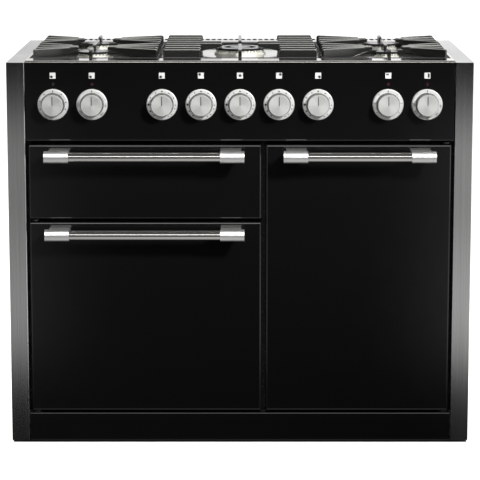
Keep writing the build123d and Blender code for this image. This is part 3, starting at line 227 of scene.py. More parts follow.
FLECK_MM = 5.0             # spacing of the specks
FIRING_MM = 30             # patches of more and less gloss
oven_enamel, tree, shader, place = new_finish("flecked_oven_enamel")
specks = add_node(tree, "ShaderNodeTexVoronoi", {"Vector": place, "Scale": 1000 / FLECK_MM})
fleck = add_node(tree, "ShaderNodeMapRange", {"Value": specks.outputs["Distance"], "From Min": 0.16,
                                              "From Max": 0.22, "To Min": 1.0, "To Max": 0.0})
base = add_node(tree, "ShaderNodeMix", {"Factor": fleck.outputs["Result"], "A": linear("#2b2d31"),
                                        "B": linear("#7d8087")}, data_type="RGBA")
firing = add_node(tree, "ShaderNodeTexNoise", {"Vector": place, "Scale": 1000 / FIRING_MM, "Detail": 3.0})
gloss = add_node(tree, "ShaderNodeMapRange", {"Value": firing.outputs["Fac"], "To Min": 0.16, "To Max": 0.32})
tree.links.new(base.outputs["Result"], shader.inputs["Base Color"])
tree.links.new(gloss.outputs["Result"], shader.inputs["Roughness"])
dress(oven_enamel, "left_oven_cavity", "right_oven_cavity", "grill_cavity", "fan_covers")
SAME_POINT = 1e-6          # mesh points this near are one


def solids_of(name):
    """Lowest and highest corner of each solid in a CAD node, from left to right and from low to high."""
    shape = bmesh.new()
    shape.from_mesh(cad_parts[name].data)
    bmesh.ops.remove_doubles(shape, verts=shape.verts, dist=SAME_POINT)
    waiting, boxes = set(shape.verts), []
    while waiting:
        front = [waiting.pop()]
        found = list(front)
        while front:
            near = {edge.other_vert(vert) for vert in front for edge in vert.link_edges} & waiting
            waiting -= near
            found += near
            front = list(near)
        corners = list(zip(*(vert.co for vert in found)))
        boxes.append((Vector(map(min, corners)), Vector(map(max, corners))))
    shape.free()
    return sorted(boxes, key=lambda box: (round(box[0].x, 4), round(box[0].z, 4)))


COVER_MARGIN = 0.014
fixings = []
for low, high in solids_of("fan_covers"):
    fixings += [(x, low.y, z) for x in (low.x + COVER_MARGIN, high.x - COVER_MARGIN)
                for z in (low.z + COVER_MARGIN, high.z - COVER_MARGIN)]
add_piece("fan_cover_screws", screw_heads(fixings, (0, -1, 0)), zinc, "chassis")

# Oven seals
# Black silicone rubber, extruded with a soft bead and clipped round each oven mouth.
# It is matt and a little dusty, so it looks dark grey and takes no sharp highlight.

DUST_MM = 6.0
rubber, tree, shader, place = new_finish("silicone_rubber")
dust = add_node(tree, "ShaderNodeTexNoise", {"Vector": place, "Scale": 1000 / DUST_MM, "Detail": 5.0})
base = add_node(tree, "ShaderNodeMix", {"Factor": dust.outputs["Fac"], "A": linear("#1a1a1b"),
                                        "B": linear("#39393a")}, data_type="RGBA")
gloss = add_node(tree, "ShaderNodeMapRange", {"Value": dust.outputs["Fac"], "To Min": 0.5, "To Max": 0.75})
tree.links.new(base.outputs["Result"], shader.inputs["Base Color"])
tree.links.new(gloss.outputs["Result"], shader.inputs["Roughness"])
dress(rubber, "oven_seals")

# Oven shelves
# Loose grids of steel wire, chromed: a rod frame with thinner wires welded across it, resting in the oven.
# The plating is bright, with duller patches where it has been wiped.

SHELF_WIRE_COUNT = 19
SHELF_ROD = 0.003
SHELF_WIRE = 0.002
SHELF_CORNER = 0.012
WIPE_MM = 25
chrome, tree, shader, place = new_finish("chromed_wire", Metallic=1.0, Base_Color=linear("#c6c9cc"))
wipe = add_node(tree, "ShaderNodeTexNoise", {"Vector": place, "Scale": 1000 / WIPE_MM, "Detail": 4.0})
gloss = add_node(tree, "ShaderNodeMapRange", {"Value": wipe.outputs["Fac"], "To Min": 0.08, "To Max": 0.24})
tree.links.new(gloss.outputs["Result"], shader.inputs["Roughness"])


def mesh_of(curve):
    """The mesh that Blender makes of a curve or of lettering."""
    drawn = bpy.data.objects.new(curve.name, curve)
    bpy.context.scene.collection.objects.link(drawn)
    bpy.context.view_layer.update()
    mesh = bpy.data.meshes.new_from_object(drawn.evaluated_get(bpy.context.evaluated_depsgraph_get()))
    bpy.data.objects.remove(drawn)
    return mesh


def wire_piece(name, runs, finish, body):
    """A welded grid of round wires: each run is a list of points, a radius and whether it closes."""
    grid = bpy.data.curves.new(name, "CURVE")
    grid.dimensions = "3D"
    grid.bevel_depth = 1.0
    grid.bevel_resolution = 2
    grid.use_fill_caps = True
    for points, radius, closed in runs:
        line = grid.splines.new("POLY")
        line.points.add(len(points) - 1)
        line.use_cyclic_u = closed
        for knot, point in zip(line.points, points):
            knot.co = (*point, 1.0)
            knot.radius = radius
    mesh = mesh_of(grid)
    shape = bmesh.new()
    shape.from_mesh(mesh)
    bpy.data.meshes.remove(mesh)
    for face in shape.faces:
        face.smooth = True
    return add_piece(name, shape, finish, body)


CORNER_STEPS = 4


def rounded_loop(x, y, z, corner):
    """Points of a flat rectangle with round corners."""
    points = []
    for turn, (end_x, end_y) in enumerate(((x[1], y[1]), (x[0], y[1]), (x[0], y[0]), (x[1], y[0]))):
        middle = Vector((end_x + (corner if end_x == x[0] else -corner),
                         end_y + (corner if end_y == y[0] else -corner), z))
        for step in range(CORNER_STEPS + 1):
            angle = math.radians(90 * (turn + step / CORNER_STEPS))
            points.append(middle + corner * Vector((math.cos(angle), math.sin(angle), 0)))
    return points


runs = []
for low, high in solids_of("oven_shelves"):
    x = (low.x + SHELF_ROD, high.x - SHELF_ROD)
    y = (low.y + SHELF_ROD, high.y - SHELF_ROD)
    runs.append((rounded_loop(x, y, low.z + SHELF_ROD, SHELF_CORNER), SHELF_ROD, True))
    for wire_x in spread(*x, SHELF_WIRE_COUNT)[1:-1]:
        runs.append(([(wire_x, end, high.z - SHELF_WIRE) for end in y], SHELF_WIRE, False))
shelves = wire_piece("oven_shelf_grids", runs, chrome, "chassis")
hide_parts("oven_shelves")

# Fans, motors and heating elements
# Pressed steel fans on motor shafts behind the covers. The elements are sheathed in a nickel alloy
# that turns dull brown-grey with heat.

dress(zinc, "left_fan", "right_fan", "fan_motors")
TINT_MM = 20
sheath, tree, shader, place = new_finish("oxidised_nickel_alloy", Metallic=1.0)
tint = add_node(tree, "ShaderNodeTexNoise", {"Vector": place, "Scale": 1000 / TINT_MM, "Detail": 3.0})
base = add_node(tree, "ShaderNodeMix", {"Factor": tint.outputs["Fac"], "A": linear("#4a4540"),
                                        "B": linear("#6f675f")}, data_type="RGBA")
gloss = add_node(tree, "ShaderNodeMapRange", {"Value": tint.outputs["Fac"], "To Min": 0.42, "To Max": 0.6})
tree.links.new(base.outputs["Result"], shader.inputs["Base Color"])
tree.links.new(gloss.outputs["Result"], shader.inputs["Roughness"])
dress(sheath, "heating_elements")

# Grill: runners, carriage, pan and trivet
# The drawer slides on zinc-plated telescopic runners. Its enamelled pan hangs in the welded carriage,
# and a chromed wire trivet stands in the pan.

TRIVET_WIRE = 0.002
TRIVET_WIRE_COUNT = 15
TRIVET_CORNER = 0.010
TRIVET_LEG_TOP = 0.020     # leg from the end of the rim, where it is welded on
TRIVET_LEG_FOOT = 0.024    # the same where it stands in the pan
dress(zinc, "runner_rails", "runner_middles", "grill_carriage")
dress(oven_enamel, "grill_pan")
low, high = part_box("grill_trivet")
x = (low.x + TRIVET_WIRE, high.x - TRIVET_WIRE)
y = (low.y + TRIVET_WIRE, high.y - TRIVET_WIRE)
top = high.z - TRIVET_WIRE
runs = [(rounded_loop(x, y, top, TRIVET_CORNER), TRIVET_WIRE, True)]
for wire_y in spread(*y, TRIVET_WIRE_COUNT)[1:-1]:
    runs.append(([(end, wire_y, top) for end in x], TRIVET_WIRE, False))
foot = low.z + TRIVET_WIRE
for side in x:
    leg = [(side, y[0] + TRIVET_LEG_TOP, top), (side, y[0] + TRIVET_LEG_FOOT, foot),
           (side, y[1] - TRIVET_LEG_FOOT, foot), (side, y[1] - TRIVET_LEG_TOP, top)]
    runs.append((leg, TRIVET_WIRE, False))
trivet = wire_piece("grill_trivet_grid", runs, chrome, "grill_drawer")
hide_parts("grill_trivet")

# Doors, drawer front, fascia and plinth
# Steel pressings fired with black vitreous enamel: a deep, glassy black with a faint waviness in its gloss.
# The doors hang on hinge pins, the drawer front is fixed to the grill carriage and the plinth to the base.

WAVE_MM = 45
black_enamel, tree, shader, place = new_finish("black_vitreous_enamel", Base_Color=linear("#0b0b0b"))
wave = add_node(tree, "ShaderNodeTexNoise", {"Vector": place, "Scale": 1000 / WAVE_MM, "Detail": 1.0})
gloss = add_node(tree, "ShaderNodeMapRange", {"Value": wave.outputs["Fac"], "To Min": 0.07, "To Max": 0.11})
flow = add_node(tree, "ShaderNodeBump", {"Height": wave.outputs["Fac"], "Strength": 0.15, "Distance": 0.0002})
tree.links.new(gloss.outputs["Result"], shader.inputs["Roughness"])
tree.links.new(flow.outputs["Normal"], shader.inputs["Normal"])
dress(black_enamel, "left_door_panel", "right_door_panel", "grill_front_panel", "fascia_panel", "plinth")

# Printed signs on the fascia
# A white ceramic square over each knob, with a black mark that says which burner or oven it works.
# Both are screen-printed and fired on, so they stand a tenth of a millimetre proud of the enamel
# and are a little less glossy.

SIGN_SIDE = 0.0138
SIGN_RISE = 0.0671         # knob axis to sign
INK = 0.0001               # thickness of a print
SCREEN_MM = 0.8            # threads of the printing screen, drawn coarser than the real ones
white_ink, tree, shader, place = new_finish("white_ceramic_ink")
screen = add_node(tree, "ShaderNodeTexNoise", {"Vector": place, "Scale": 1000 / SCREEN_MM, "Detail": 2.0})
base = add_node(tree, "ShaderNodeMix", {"Factor": screen.outputs["Fac"], "A": linear("#c6c6c4"),
                                        "B": linear("#d4d4d2")}, data_type="RGBA")
gloss = add_node(tree, "ShaderNodeMapRange", {"Value": screen.outputs["Fac"], "To Min": 0.3, "To Max": 0.5})
tree.links.new(base.outputs["Result"], shader.inputs["Base Color"])
tree.links.new(gloss.outputs["Result"], shader.inputs["Roughness"])
black_ink, tree, shader, place = new_finish("black_ceramic_ink", Base_Color=linear("#0b0b0c"))
screen = add_node(tree, "ShaderNodeTexNoise", {"Vector": place, "Scale": 1000 / SCREEN_MM, "Detail": 2.0})
gloss = add_node(tree, "ShaderNodeMapRange", {"Value": screen.outputs["Fac"], "To Min": 0.35, "To Max": 0.55})
tree.links.new(gloss.outputs["Result"], shader.inputs["Roughness"])

KNOBS = ("left_oven_mode_knob", "left_oven_heat_knob", "gas_knob_front_left", "gas_knob_rear_left",
         "gas_knob_centre", "gas_knob_rear_right", "gas_knob_front_right", "grill_heat_knob",
         "right_oven_heat_knob")
knob_axis = {}
for name in KNOBS:
    low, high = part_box(name)
    knob_axis[name] = ((low.x + high.x) / 2, (low.z + high.z) / 2)


def print_shape(shape, outline, face, thick):
    """Prints a flat outline, given as x and z from left to right, on a face that looks forward."""
    back = [shape.verts.new((x, face, z)) for x, z in outline]
    front = [shape.verts.new((x, face - thick, z)) for x, z in outline]
    shape.faces.new(front)
    shape.faces.new(reversed(back))
    for side in range(len(outline)):
        after = (side + 1) % len(outline)
        shape.faces.new((front[after], front[side], back[side], back[after]))


def oblong(x, z, width, height, turn=0.0):
    """Corners of a rectangle about a point, turned clockwise."""
    cos, sin = math.cos(turn), math.sin(turn)
    corners = ((-width / 2, -height / 2), (width / 2, -height / 2),
               (width / 2, height / 2), (-width / 2, height / 2))
    return [(x + across * cos + up * sin, z - across * sin + up * cos) for across, up in corners]


def dot(x, z, radius, sides):
    """Corners of a small disc about a point."""
    return [(x + radius * math.cos(math.tau * side / sides), z + radius * math.sin(math.tau * side / sides))
            for side in range(sides)]


MARK_OFF = 0.0028          # middle of a sign to its dot, across and up
MARK_RADIUS = 0.0031
MARK_SIDES = 20
# Which way each burner's or oven's dot lies, across and up
ROUND_MARKS = {
    "left_oven_mode_knob": (-1, -1), "left_oven_heat_knob": (-1, -1), "gas_knob_front_left": (-1, -1),
    "gas_knob_rear_left": (-1, 1), "gas_knob_centre": (0, 0), "gas_knob_rear_right": (1, 1),
    "gas_knob_front_right": (1, -1),
}
# Oblong marks of the other two signs: offset across and up, width and height
OBLONG_MARKS = {"grill_heat_knob": (-0.0018, 0.0026, 0.0062, 0.0034),
                "right_oven_heat_knob": (0.0029, 0.0, 0.0040, 0.0100)}
fascia_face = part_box("fascia_panel")[0].y
squares, marks = bmesh.new(), bmesh.new()
for name, (x, z) in knob_axis.items():
    z += SIGN_RISE
    print_shape(squares, oblong(x, z, SIGN_SIDE, SIGN_SIDE), fascia_face, INK)
    if name in ROUND_MARKS:
        across, up = ROUND_MARKS[name]
        outline = dot(x + across * MARK_OFF, z + up * MARK_OFF, MARK_RADIUS, MARK_SIDES)
    else:
        across, up, width, height = OBLONG_MARKS[name]
        outline = oblong(x + across, z + up, width, height)
    print_shape(marks, outline, fascia_face - INK, INK)
add_piece("fascia_signs", squares, white_ink, "chassis")
add_piece("fascia_sign_marks", marks, black_ink, "chassis")

# Door liners and hinges
# Inner door sheets of the oven's own enamel, fixed by screws along their upper and lower edge.
# The hinge plates are zinc-plated and black-passivated: a dark, hazy metal that doesn't shine
# through the gap beside a shut door.

LINER_SCREW_MARGIN = 0.010
LINER_SCREWS_ACROSS = 4
dress(oven_enamel, "left_door_liner", "right_door_liner")
black_zinc, tree, shader, place = new_finish("black_passivated_zinc", Metallic=0.4,
                                             Base_Color=linear("#161618"))
haze = add_node(tree, "ShaderNodeTexNoise", {"Vector": place, "Scale": 1000 / HANDLING_MM, "Detail": 4.0})
gloss = add_node(tree, "ShaderNodeMapRange", {"Value": haze.outputs["Fac"], "To Min": 0.4, "To Max": 0.6})
tree.links.new(gloss.outputs["Result"], shader.inputs["Roughness"])
dress(black_zinc, "hinge_brackets")
for side in ("left", "right"):
    low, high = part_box(f"{side}_door_liner")
    edges = [(x, high.y, z) for z in (low.z + LINER_SCREW_MARGIN, high.z - LINER_SCREW_MARGIN)
             for x in spread(low.x + LINER_SCREW_MARGIN, high.x - LINER_SCREW_MARGIN, LINER_SCREWS_ACROSS)]
    add_piece(f"{side}_liner_screws", screw_heads(edges, (0, 1, 0)), zinc, f"{side}_door")

# Handles
# A drawn tube of polished stainless steel in two die-cast sleeves, on brackets screwed to a door or drawer.
# The tube mirrors the room, with faint streaks along it from the drawing.

DRAW_LENGTH_MM = 120
DRAW_WIDTH_MM = 1.5
polished, tree, shader, place = new_finish("polished_stainless_tube", Metallic=1.0,
                                           Base_Color=linear("#cfcdc9"))
lines = add_node(tree, "ShaderNodeMapping", {"Vector": place, "Scale": (
    1000 / DRAW_LENGTH_MM, 1000 / DRAW_WIDTH_MM, 1000 / DRAW_WIDTH_MM)})
grain = add_node(tree, "ShaderNodeTexNoise", {"Vector": lines.outputs["Vector"], "Scale": 1.0, "Detail": 2.0})
gloss = add_node(tree, "ShaderNodeMapRange", {"Value": grain.outputs["Fac"], "To Min": 0.08, "To Max": 0.18})
tree.links.new(gloss.outputs["Result"], shader.inputs["Roughness"])
dress(polished, "left_handle_bar", "right_handle_bar", "grill_handle_bar")

# The sleeves are blasted before plating, so their shine is soft and whitish.
BLAST_MM = 1.5
satin, tree, shader, place = new_finish("satin_plated_zinc", Metallic=1.0, Base_Color=linear("#e6e6e4"))
blast = add_node(tree, "ShaderNodeTexNoise", {"Vector": place, "Scale": 1000 / BLAST_MM, "Detail": 3.0})
gloss = add_node(tree, "ShaderNodeMapRange", {"Value": blast.outputs["Fac"], "To Min": 0.3, "To Max": 0.42})
tree.links.new(gloss.outputs["Result"], shader.inputs["Roughness"])
dress(satin, "left_handle_ends", "right_handle_ends", "grill_handle_ends")

# Knob bezels
# Bevelled aluminium rings pressed on to the fascia, brushed and anodised, with dial marks printed in black.
# The brushing runs across, and gives a pale, even sheen with fine level lines.

BRUSHING_MM = 2.5          # drawn coarser than the real lines, which are too fine to show
BRUSHING_LENGTH_MM = 40
bezel_metal, tree, shader, place = new_finish("anodised_aluminium_ring", Metallic=0.7)
lines = add_node(tree, "ShaderNodeMapping", {"Vector": place, "Scale": (
    1000 / BRUSHING_LENGTH_MM, 1000 / BRUSHING_MM, 1000 / BRUSHING_MM)})
grain = add_node(tree, "ShaderNodeTexNoise", {"Vector": lines.outputs["Vector"], "Scale": 1.0, "Detail": 3.0})
tone = add_node(tree, "ShaderNodeMix", {"Factor": grain.outputs["Fac"], "A": linear("#bebebc"),
                                        "B": linear("#dadad8")}, data_type="RGBA")
gloss = add_node(tree, "ShaderNodeMapRange", {"Value": grain.outputs["Fac"], "To Min": 0.46, "To Max": 0.62})
tree.links.new(tone.outputs["Result"], shader.inputs["Base Color"])
tree.links.new(gloss.outputs["Result"], shader.inputs["Roughness"])
dress(bezel_metal, "knob_bezels")

DIAL_RADIUS = 0.0309       # middle of the flat face of a ring
NUMBER_HEIGHT = 0.0048
FONT_TO_FIGURE = 1.4       # the font's figures are 0.71 of its size tall
bezel_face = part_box("knob_bezels")[0].y


def dial_place(name, clock):
    """Point on a dial at an angle from twelve o'clock, and that angle in radians."""
    turn = math.radians(clock)
    x, z = knob_axis[name]
    return x + DIAL_RADIUS * math.sin(turn), z + DIAL_RADIUS * math.cos(turn), turn


def print_number(shape, words, x, z, turn, height, face):
    """Prints a number about a point, turned clockwise, on a face that looks forward."""
    lettering = bpy.data.curves.new("number", "FONT")
    lettering.body = words
    lettering.size = height * FONT_TO_FIGURE
    lettering.align_x = "CENTER"
    lettering.align_y = "CENTER"
    lettering.extrude = INK / 2
    lettering.resolution_u = 3
    figures = mesh_of(lettering)
    figures.transform(Matrix.Translation((x, face - INK / 2, z)) @ Matrix.Rotation(turn, 4, "Y")
                      @ Matrix.Rotation(math.pi / 2, 4, "X"))
    shape.from_mesh(figures)
    bpy.data.meshes.remove(figures)


# Dial marks by their angle from twelve o'clock, the gas dots with their radius
GAS_DOTS = ((0, 0.0018), (332, 0.0014), (302, 0.0014), (270, 0.0027), (241, 0.0021), (216, 0.0017),
            (92, 0.0013), (108, 0.0013), (136, 0.0013), (152, 0.0013))
GAS_DASHES = (32, 60)
HEAT_NUMBERS = ((95, "50"), (132, "100"), (205, "150"), (236, "200"), (268, "250"))
GRILL_NUMBERS = ((42, "1"), (84, "2"), (126, "3"), (234, "4"), (276, "5"), (318, "6"))
MODE_DOTS = (40, 80, 110, 250, 285, 320)
MODE_DOT_RADIUS = 0.0015
DIAL_DOT_SIDES = 12
DASH_LENGTH, DASH_WIDTH = 0.0038, 0.0017
BAR_LENGTH, BAR_WIDTH = 0.0048, 0.0018     # at twelve o'clock, where an electric knob is off
marks = bmesh.new()
for name in KNOBS:
    if name.startswith("gas"):
        for clock, radius in GAS_DOTS:
            print_shape(marks, dot(*dial_place(name, clock)[:2], radius, DIAL_DOT_SIDES), bezel_face, INK)
        for clock in GAS_DASHES:
            x, z, turn = dial_place(name, clock)
            print_shape(marks, oblong(x, z, DASH_LENGTH, DASH_WIDTH, turn), bezel_face, INK)
        continue
    x, z, turn = dial_place(name, 0)
    print_shape(marks, oblong(x, z, BAR_WIDTH, BAR_LENGTH, turn), bezel_face, INK)
    if name == "left_oven_mode_knob":
        for clock in MODE_DOTS:
            outline = dot(*dial_place(name, clock)[:2], MODE_DOT_RADIUS, DIAL_DOT_SIDES)
            print_shape(marks, outline, bezel_face, INK)
        continue
    for clock, words in GRILL_NUMBERS if name == "grill_heat_knob" else HEAT_NUMBERS:
        print_number(marks, words, *dial_place(name, clock), NUMBER_HEIGHT, bezel_face)
add_piece("dial_marks", marks, black_ink, "chassis")

# Knobs
# Turned and anodised aluminium caps on a spindle, with a pointer line filled with dark paint.
# The face is satin, and its turned grain draws highlights out round the axis. The taper behind it
# is coloured nearly black, so it shows as a dark ring with a glint.

FACE_DEPTH = 0.0012        # satin band, measured from the front of a cap
MIST_MM = 1.2              # etched grain of the face
DARK_TAPER_ROUGHNESS = 0.3
cap_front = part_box(KNOBS[0])[0].y
spun, tree, shader, place = new_finish("satin_anodised_aluminium", Specular_IOR_Level=0.12, Anisotropic=0.25)
mist = add_node(tree, "ShaderNodeTexNoise", {"Vector": place, "Scale": 1000 / MIST_MM, "Detail": 3.0})
depth = add_node(tree, "ShaderNodeSeparateXYZ", {"Vector": place})
# Behind the satin band the cap is coloured nearly black, plain and not metallic.
dark_taper = add_node(tree, "ShaderNodeMath", {0: depth.outputs["Y"], 1: cap_front + FACE_DEPTH},
                operation="GREATER_THAN")
tone = add_node(tree, "ShaderNodeMix", {"Factor": mist.outputs["Fac"], "A": linear("#a2a2a0"),
                                        "B": linear("#bcbcba")}, data_type="RGBA")
both = add_node(tree, "ShaderNodeMix", {"Factor": dark_taper.outputs["Value"], "A": tone.outputs["Result"],
                                        "B": linear("#060607")}, data_type="RGBA")
bare = add_node(tree, "ShaderNodeMapRange", {"Value": dark_taper.outputs["Value"], "To Min": 0.85, "To Max": 0.0})
gloss = add_node(tree, "ShaderNodeMapRange", {"Value": mist.outputs["Fac"], "To Min": 0.5, "To Max": 0.64})
sheen = add_node(tree, "ShaderNodeMix", {"Factor": dark_taper.outputs["Value"], "A": gloss.outputs["Result"],
                                         "B": DARK_TAPER_ROUGHNESS})
tree.links.new(both.outputs["Result"], shader.inputs["Base Color"])
tree.links.new(bare.outputs["Result"], shader.inputs["Metallic"])
tree.links.new(sheen.outputs["Result"], shader.inputs["Roughness"])
around = add_node(tree, "ShaderNodeTangent", direction_type="RADIAL", axis="Y")
tree.links.new(around.outputs["Tangent"], shader.inputs["Tangent"])
dress(spun, *KNOBS)

POINTER_WIDTH = 0.0019
POINTER_LENGTH = 0.0208
POINTER_SUNK = 0.0003      # paint below the face
POINTER_PAINT = 0.0004     # thickness of the paint
DRYING_MM = 2
# Paint that has dried unevenly in its groove: dark grey, with a broken gloss.
grey_paint, tree, shader, place = new_finish("dark_grey_paint")
drying = add_node(tree, "ShaderNodeTexNoise", {"Vector": place, "Scale": 1000 / DRYING_MM, "Detail": 2.0})
base = add_node(tree, "ShaderNodeMix", {"Factor": drying.outputs["Fac"], "A": linear("#1f1f20"),
                                        "B": linear("#333334")}, data_type="RGBA")
gloss = add_node(tree, "ShaderNodeMapRange", {"Value": drying.outputs["Fac"], "To Min": 0.4, "To Max": 0.6})
tree.links.new(base.outputs["Result"], shader.inputs["Base Color"])
tree.links.new(gloss.outputs["Result"], shader.inputs["Roughness"])
for name, (x, z) in knob_axis.items():
    line = bmesh.new()
    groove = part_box(name)[0].y + POINTER_SUNK + POINTER_PAINT
    print_shape(line, oblong(x, z + POINTER_LENGTH / 2, POINTER_WIDTH, POINTER_LENGTH), groove, POINTER_PAINT)
    add_piece(f"pointer_line_{name}", line, grey_paint, name)

# Neon lenses
# Small lenses of tinted polycarbonate over the electric knobs, each held by a flange behind the fascia.
# They are glossy, and nearly black while the neon behind them is off.

NEUTRAL_LENS_X = -0.39     # the lens to the left of this is smoked, the others are red
lens_plastic, tree, shader, place = new_finish("tinted_polycarbonate", Roughness=0.18)
across = add_node(tree, "ShaderNodeSeparateXYZ", {"Vector": place})
red = add_node(tree, "ShaderNodeMath", {0: across.outputs["X"], 1: NEUTRAL_LENS_X}, operation="GREATER_THAN")
base = add_node(tree, "ShaderNodeMix", {"Factor": red.outputs["Value"], "A": linear("#1c1918"),
                                        "B": linear("#320c14")}, data_type="RGBA")
tree.links.new(base.outputs["Result"], shader.inputs["Base Color"])
dress(lens_plastic, "indicator_lenses")

# Gas rail, taps and switches
# Brass taps on a brass supply pipe, and moulded switch bodies. They are hidden behind the fascia, all but
# the pipe's inlet, which comes out at the back. The brass is tarnished in patches from yellow to brown.

TARNISH_MM = 8
brass, tree, shader, place = new_finish("cast_brass", Metallic=1.0)
tarnish = add_node(tree, "ShaderNodeTexNoise", {"Vector": place, "Scale": 1000 / TARNISH_MM, "Detail": 4.0})
base = add_node(tree, "ShaderNodeMix", {"Factor": tarnish.outputs["Fac"], "A": linear("#8a6a35"),
                                        "B": linear("#b8955a")}, data_type="RGBA")
tree.links.new(base.outputs["Result"], shader.inputs["Base Color"])
dress(brass, "gas_rail", "gas_taps", "tap_rotor_front_left", "tap_rotor_rear_left", "tap_rotor_centre",
      "tap_rotor_rear_right", "tap_rotor_front_right")
# The switch bodies are cream, faintly clouded by the flow in the mould.
FLOW_MM = 12
thermoset, tree, shader, place = new_finish("moulded_thermoset", Roughness=0.5)
flow = add_node(tree, "ShaderNodeTexNoise", {"Vector": place, "Scale": 1000 / FLOW_MM, "Detail": 2.0})
base = add_node(tree, "ShaderNodeMix", {"Factor": flow.outputs["Fac"], "A": linear("#cfc8b8"),
                                        "B": linear("#ded8ca")}, data_type="RGBA")
tree.links.new(base.outputs["Result"], shader.inputs["Base Color"])
dress(thermoset, "rotary_switches")

# Hob
# One deep pressing of stainless steel, with a rolled front edge and a sunk field for the burners.
# It is polished nearly to a mirror, a little cloudy in patches, and lies on the fascia and the back panel.

POLISH_MM = 60
pressed, tree, shader, place = new_finish("polished_stainless_pressing", Metallic=1.0,
                                          Base_Color=linear("#cdcac5"))
cloud = add_node(tree, "ShaderNodeTexNoise", {"Vector": place, "Scale": 1000 / POLISH_MM, "Detail": 4.0})
gloss = add_node(tree, "ShaderNodeMapRange", {"Value": cloud.outputs["Fac"], "To Min": 0.07, "To Max": 0.12})
tree.links.new(gloss.outputs["Result"], shader.inputs["Roughness"])
dress(pressed, "hob_top")

# Burners
# Die-cast aluminium crowns that stand in the hob, their grainy skin pale and without a sharp highlight.
# Loose steel caps lie on them, in black enamel with a grainy half gloss.

GRIT_MM = 1.6
alloy, tree, shader, place = new_finish("die_cast_aluminium", Metallic=0.4, Base_Color=linear("#c4c3bb"))
grit = add_node(tree, "ShaderNodeTexNoise", {"Vector": place, "Scale": 1000 / GRIT_MM, "Detail": 4.0})
gloss = add_node(tree, "ShaderNodeMapRange", {"Value": grit.outputs["Fac"], "To Min": 0.42, "To Max": 0.62})
skin = add_node(tree, "ShaderNodeBump", {"Height": grit.outputs["Fac"], "Strength": 0.3, "Distance": 0.0003})
tree.links.new(gloss.outputs["Result"], shader.inputs["Roughness"])
tree.links.new(skin.outputs["Normal"], shader.inputs["Normal"])
dress(alloy, "burner_heads")
cap_enamel, tree, shader, place = new_finish("half_gloss_black_enamel", Base_Color=linear("#1c1c1d"))
grit = add_node(tree, "ShaderNodeTexNoise", {"Vector": place, "Scale": 1000 / GRIT_MM, "Detail": 3.0})
gloss = add_node(tree, "ShaderNodeMapRange", {"Value": grit.outputs["Fac"], "To Min": 0.12, "To Max": 0.22})
tree.links.new(gloss.outputs["Result"], shader.inputs["Roughness"])
dress(cap_enamel, "burner_caps")

# Pan supports
# Three sand-cast iron grids in satin black enamel, which stand loose in the hob's well.
# Casting rounds every edge and leaves a fine sandy skin. The tops of the fins are painted paler: a painted
# highlight, together with the wear of pans.

PAN_SUPPORTS = ("pan_support_left", "pan_support_centre", "pan_support_right")
SAND_MM = 1.8
PATCH_MM = 35
WEAR_AND_HIGHLIGHT_DEPTH = 0.0024        # painted highlight and wear, measured from the top of the fins
cast_iron, tree, shader, place = new_finish("enamelled_cast_iron")
sand = add_node(tree, "ShaderNodeTexNoise", {"Vector": place, "Scale": 1000 / SAND_MM, "Detail": 5.0})
patch = add_node(tree, "ShaderNodeTexNoise", {"Vector": place, "Scale": 1000 / PATCH_MM, "Detail": 3.0})
coat = add_node(tree, "ShaderNodeMix", {"Factor": patch.outputs["Fac"], "A": linear("#121312"),
                                        "B": linear("#1d1e1c")}, data_type="RGBA")
fin_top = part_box("pan_support_left")[1].z
rise = add_node(tree, "ShaderNodeSeparateXYZ", {"Vector": place})
# Painted highlight: the fin tops are coloured paler, and this also stands for the wear of pans.
wear_and_highlight = add_node(tree, "ShaderNodeMapRange", {"Value": rise.outputs["Z"], "From Min": fin_top - WEAR_AND_HIGHLIGHT_DEPTH,
                                             "From Max": fin_top - WEAR_AND_HIGHLIGHT_DEPTH / 2})
base = add_node(tree, "ShaderNodeMix", {"Factor": wear_and_highlight.outputs["Result"], "A": coat.outputs["Result"],
                                        "B": linear("#5e5e5a")}, data_type="RGBA")
gloss = add_node(tree, "ShaderNodeMapRange", {"Value": sand.outputs["Fac"], "To Min": 0.18, "To Max": 0.3})
skin = add_node(tree, "ShaderNodeBump", {"Height": sand.outputs["Fac"], "Strength": 0.1, "Distance": 0.0004})
tree.links.new(base.outputs["Result"], shader.inputs["Base Color"])
tree.links.new(gloss.outputs["Result"], shader.inputs["Roughness"])
tree.links.new(skin.outputs["Normal"], shader.inputs["Normal"])
dress(cast_iron, *PAN_SUPPORTS)

CAST_EDGE = 0.0014         # radius that casting leaves
SHARP_DEGREES = 35         # a bend of more than this is an edge


def soften(name, width):
    """Rounds a CAD node's edges by a little, as casting leaves them."""
    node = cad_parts[name]
    joined = node.modifiers.new("joined", "WELD")
    joined.merge_threshold = SAME_POINT
    rounded = node.modifiers.new("rounded", "BEVEL")
    rounded.width = width
    rounded.segments = 3
    rounded.limit_method = "ANGLE"
    rounded.angle_limit = math.radians(SHARP_DEGREES)
    rounded.use_clamp_overlap = True
    rounded.harden_normals = True


for name in PAN_SUPPORTS:
    soften(name, CAST_EDGE)

# Stage
# A pale floor with a dark card under the cooker as painted shade, a soft key light from the upper right, a
# wide overhead light and two softboxes. The plain white surround darkens in front of the cooker, as a studio
# hung with black drapes does for glossy black enamel.

FLOOR_SIDE = 60.0
FLOOR_GLOW = 0.85          # light of its own, so that the floor is pale where no lamp reaches
MOTTLE_MM = 300            # patches of a painted floor, hardly seen
SHADE_CARD_RISE = 0.0003         # painted shade card above the floor
SHADE_CARD_INSET = 0.002         # painted shade card's edge inside the cooker's outline


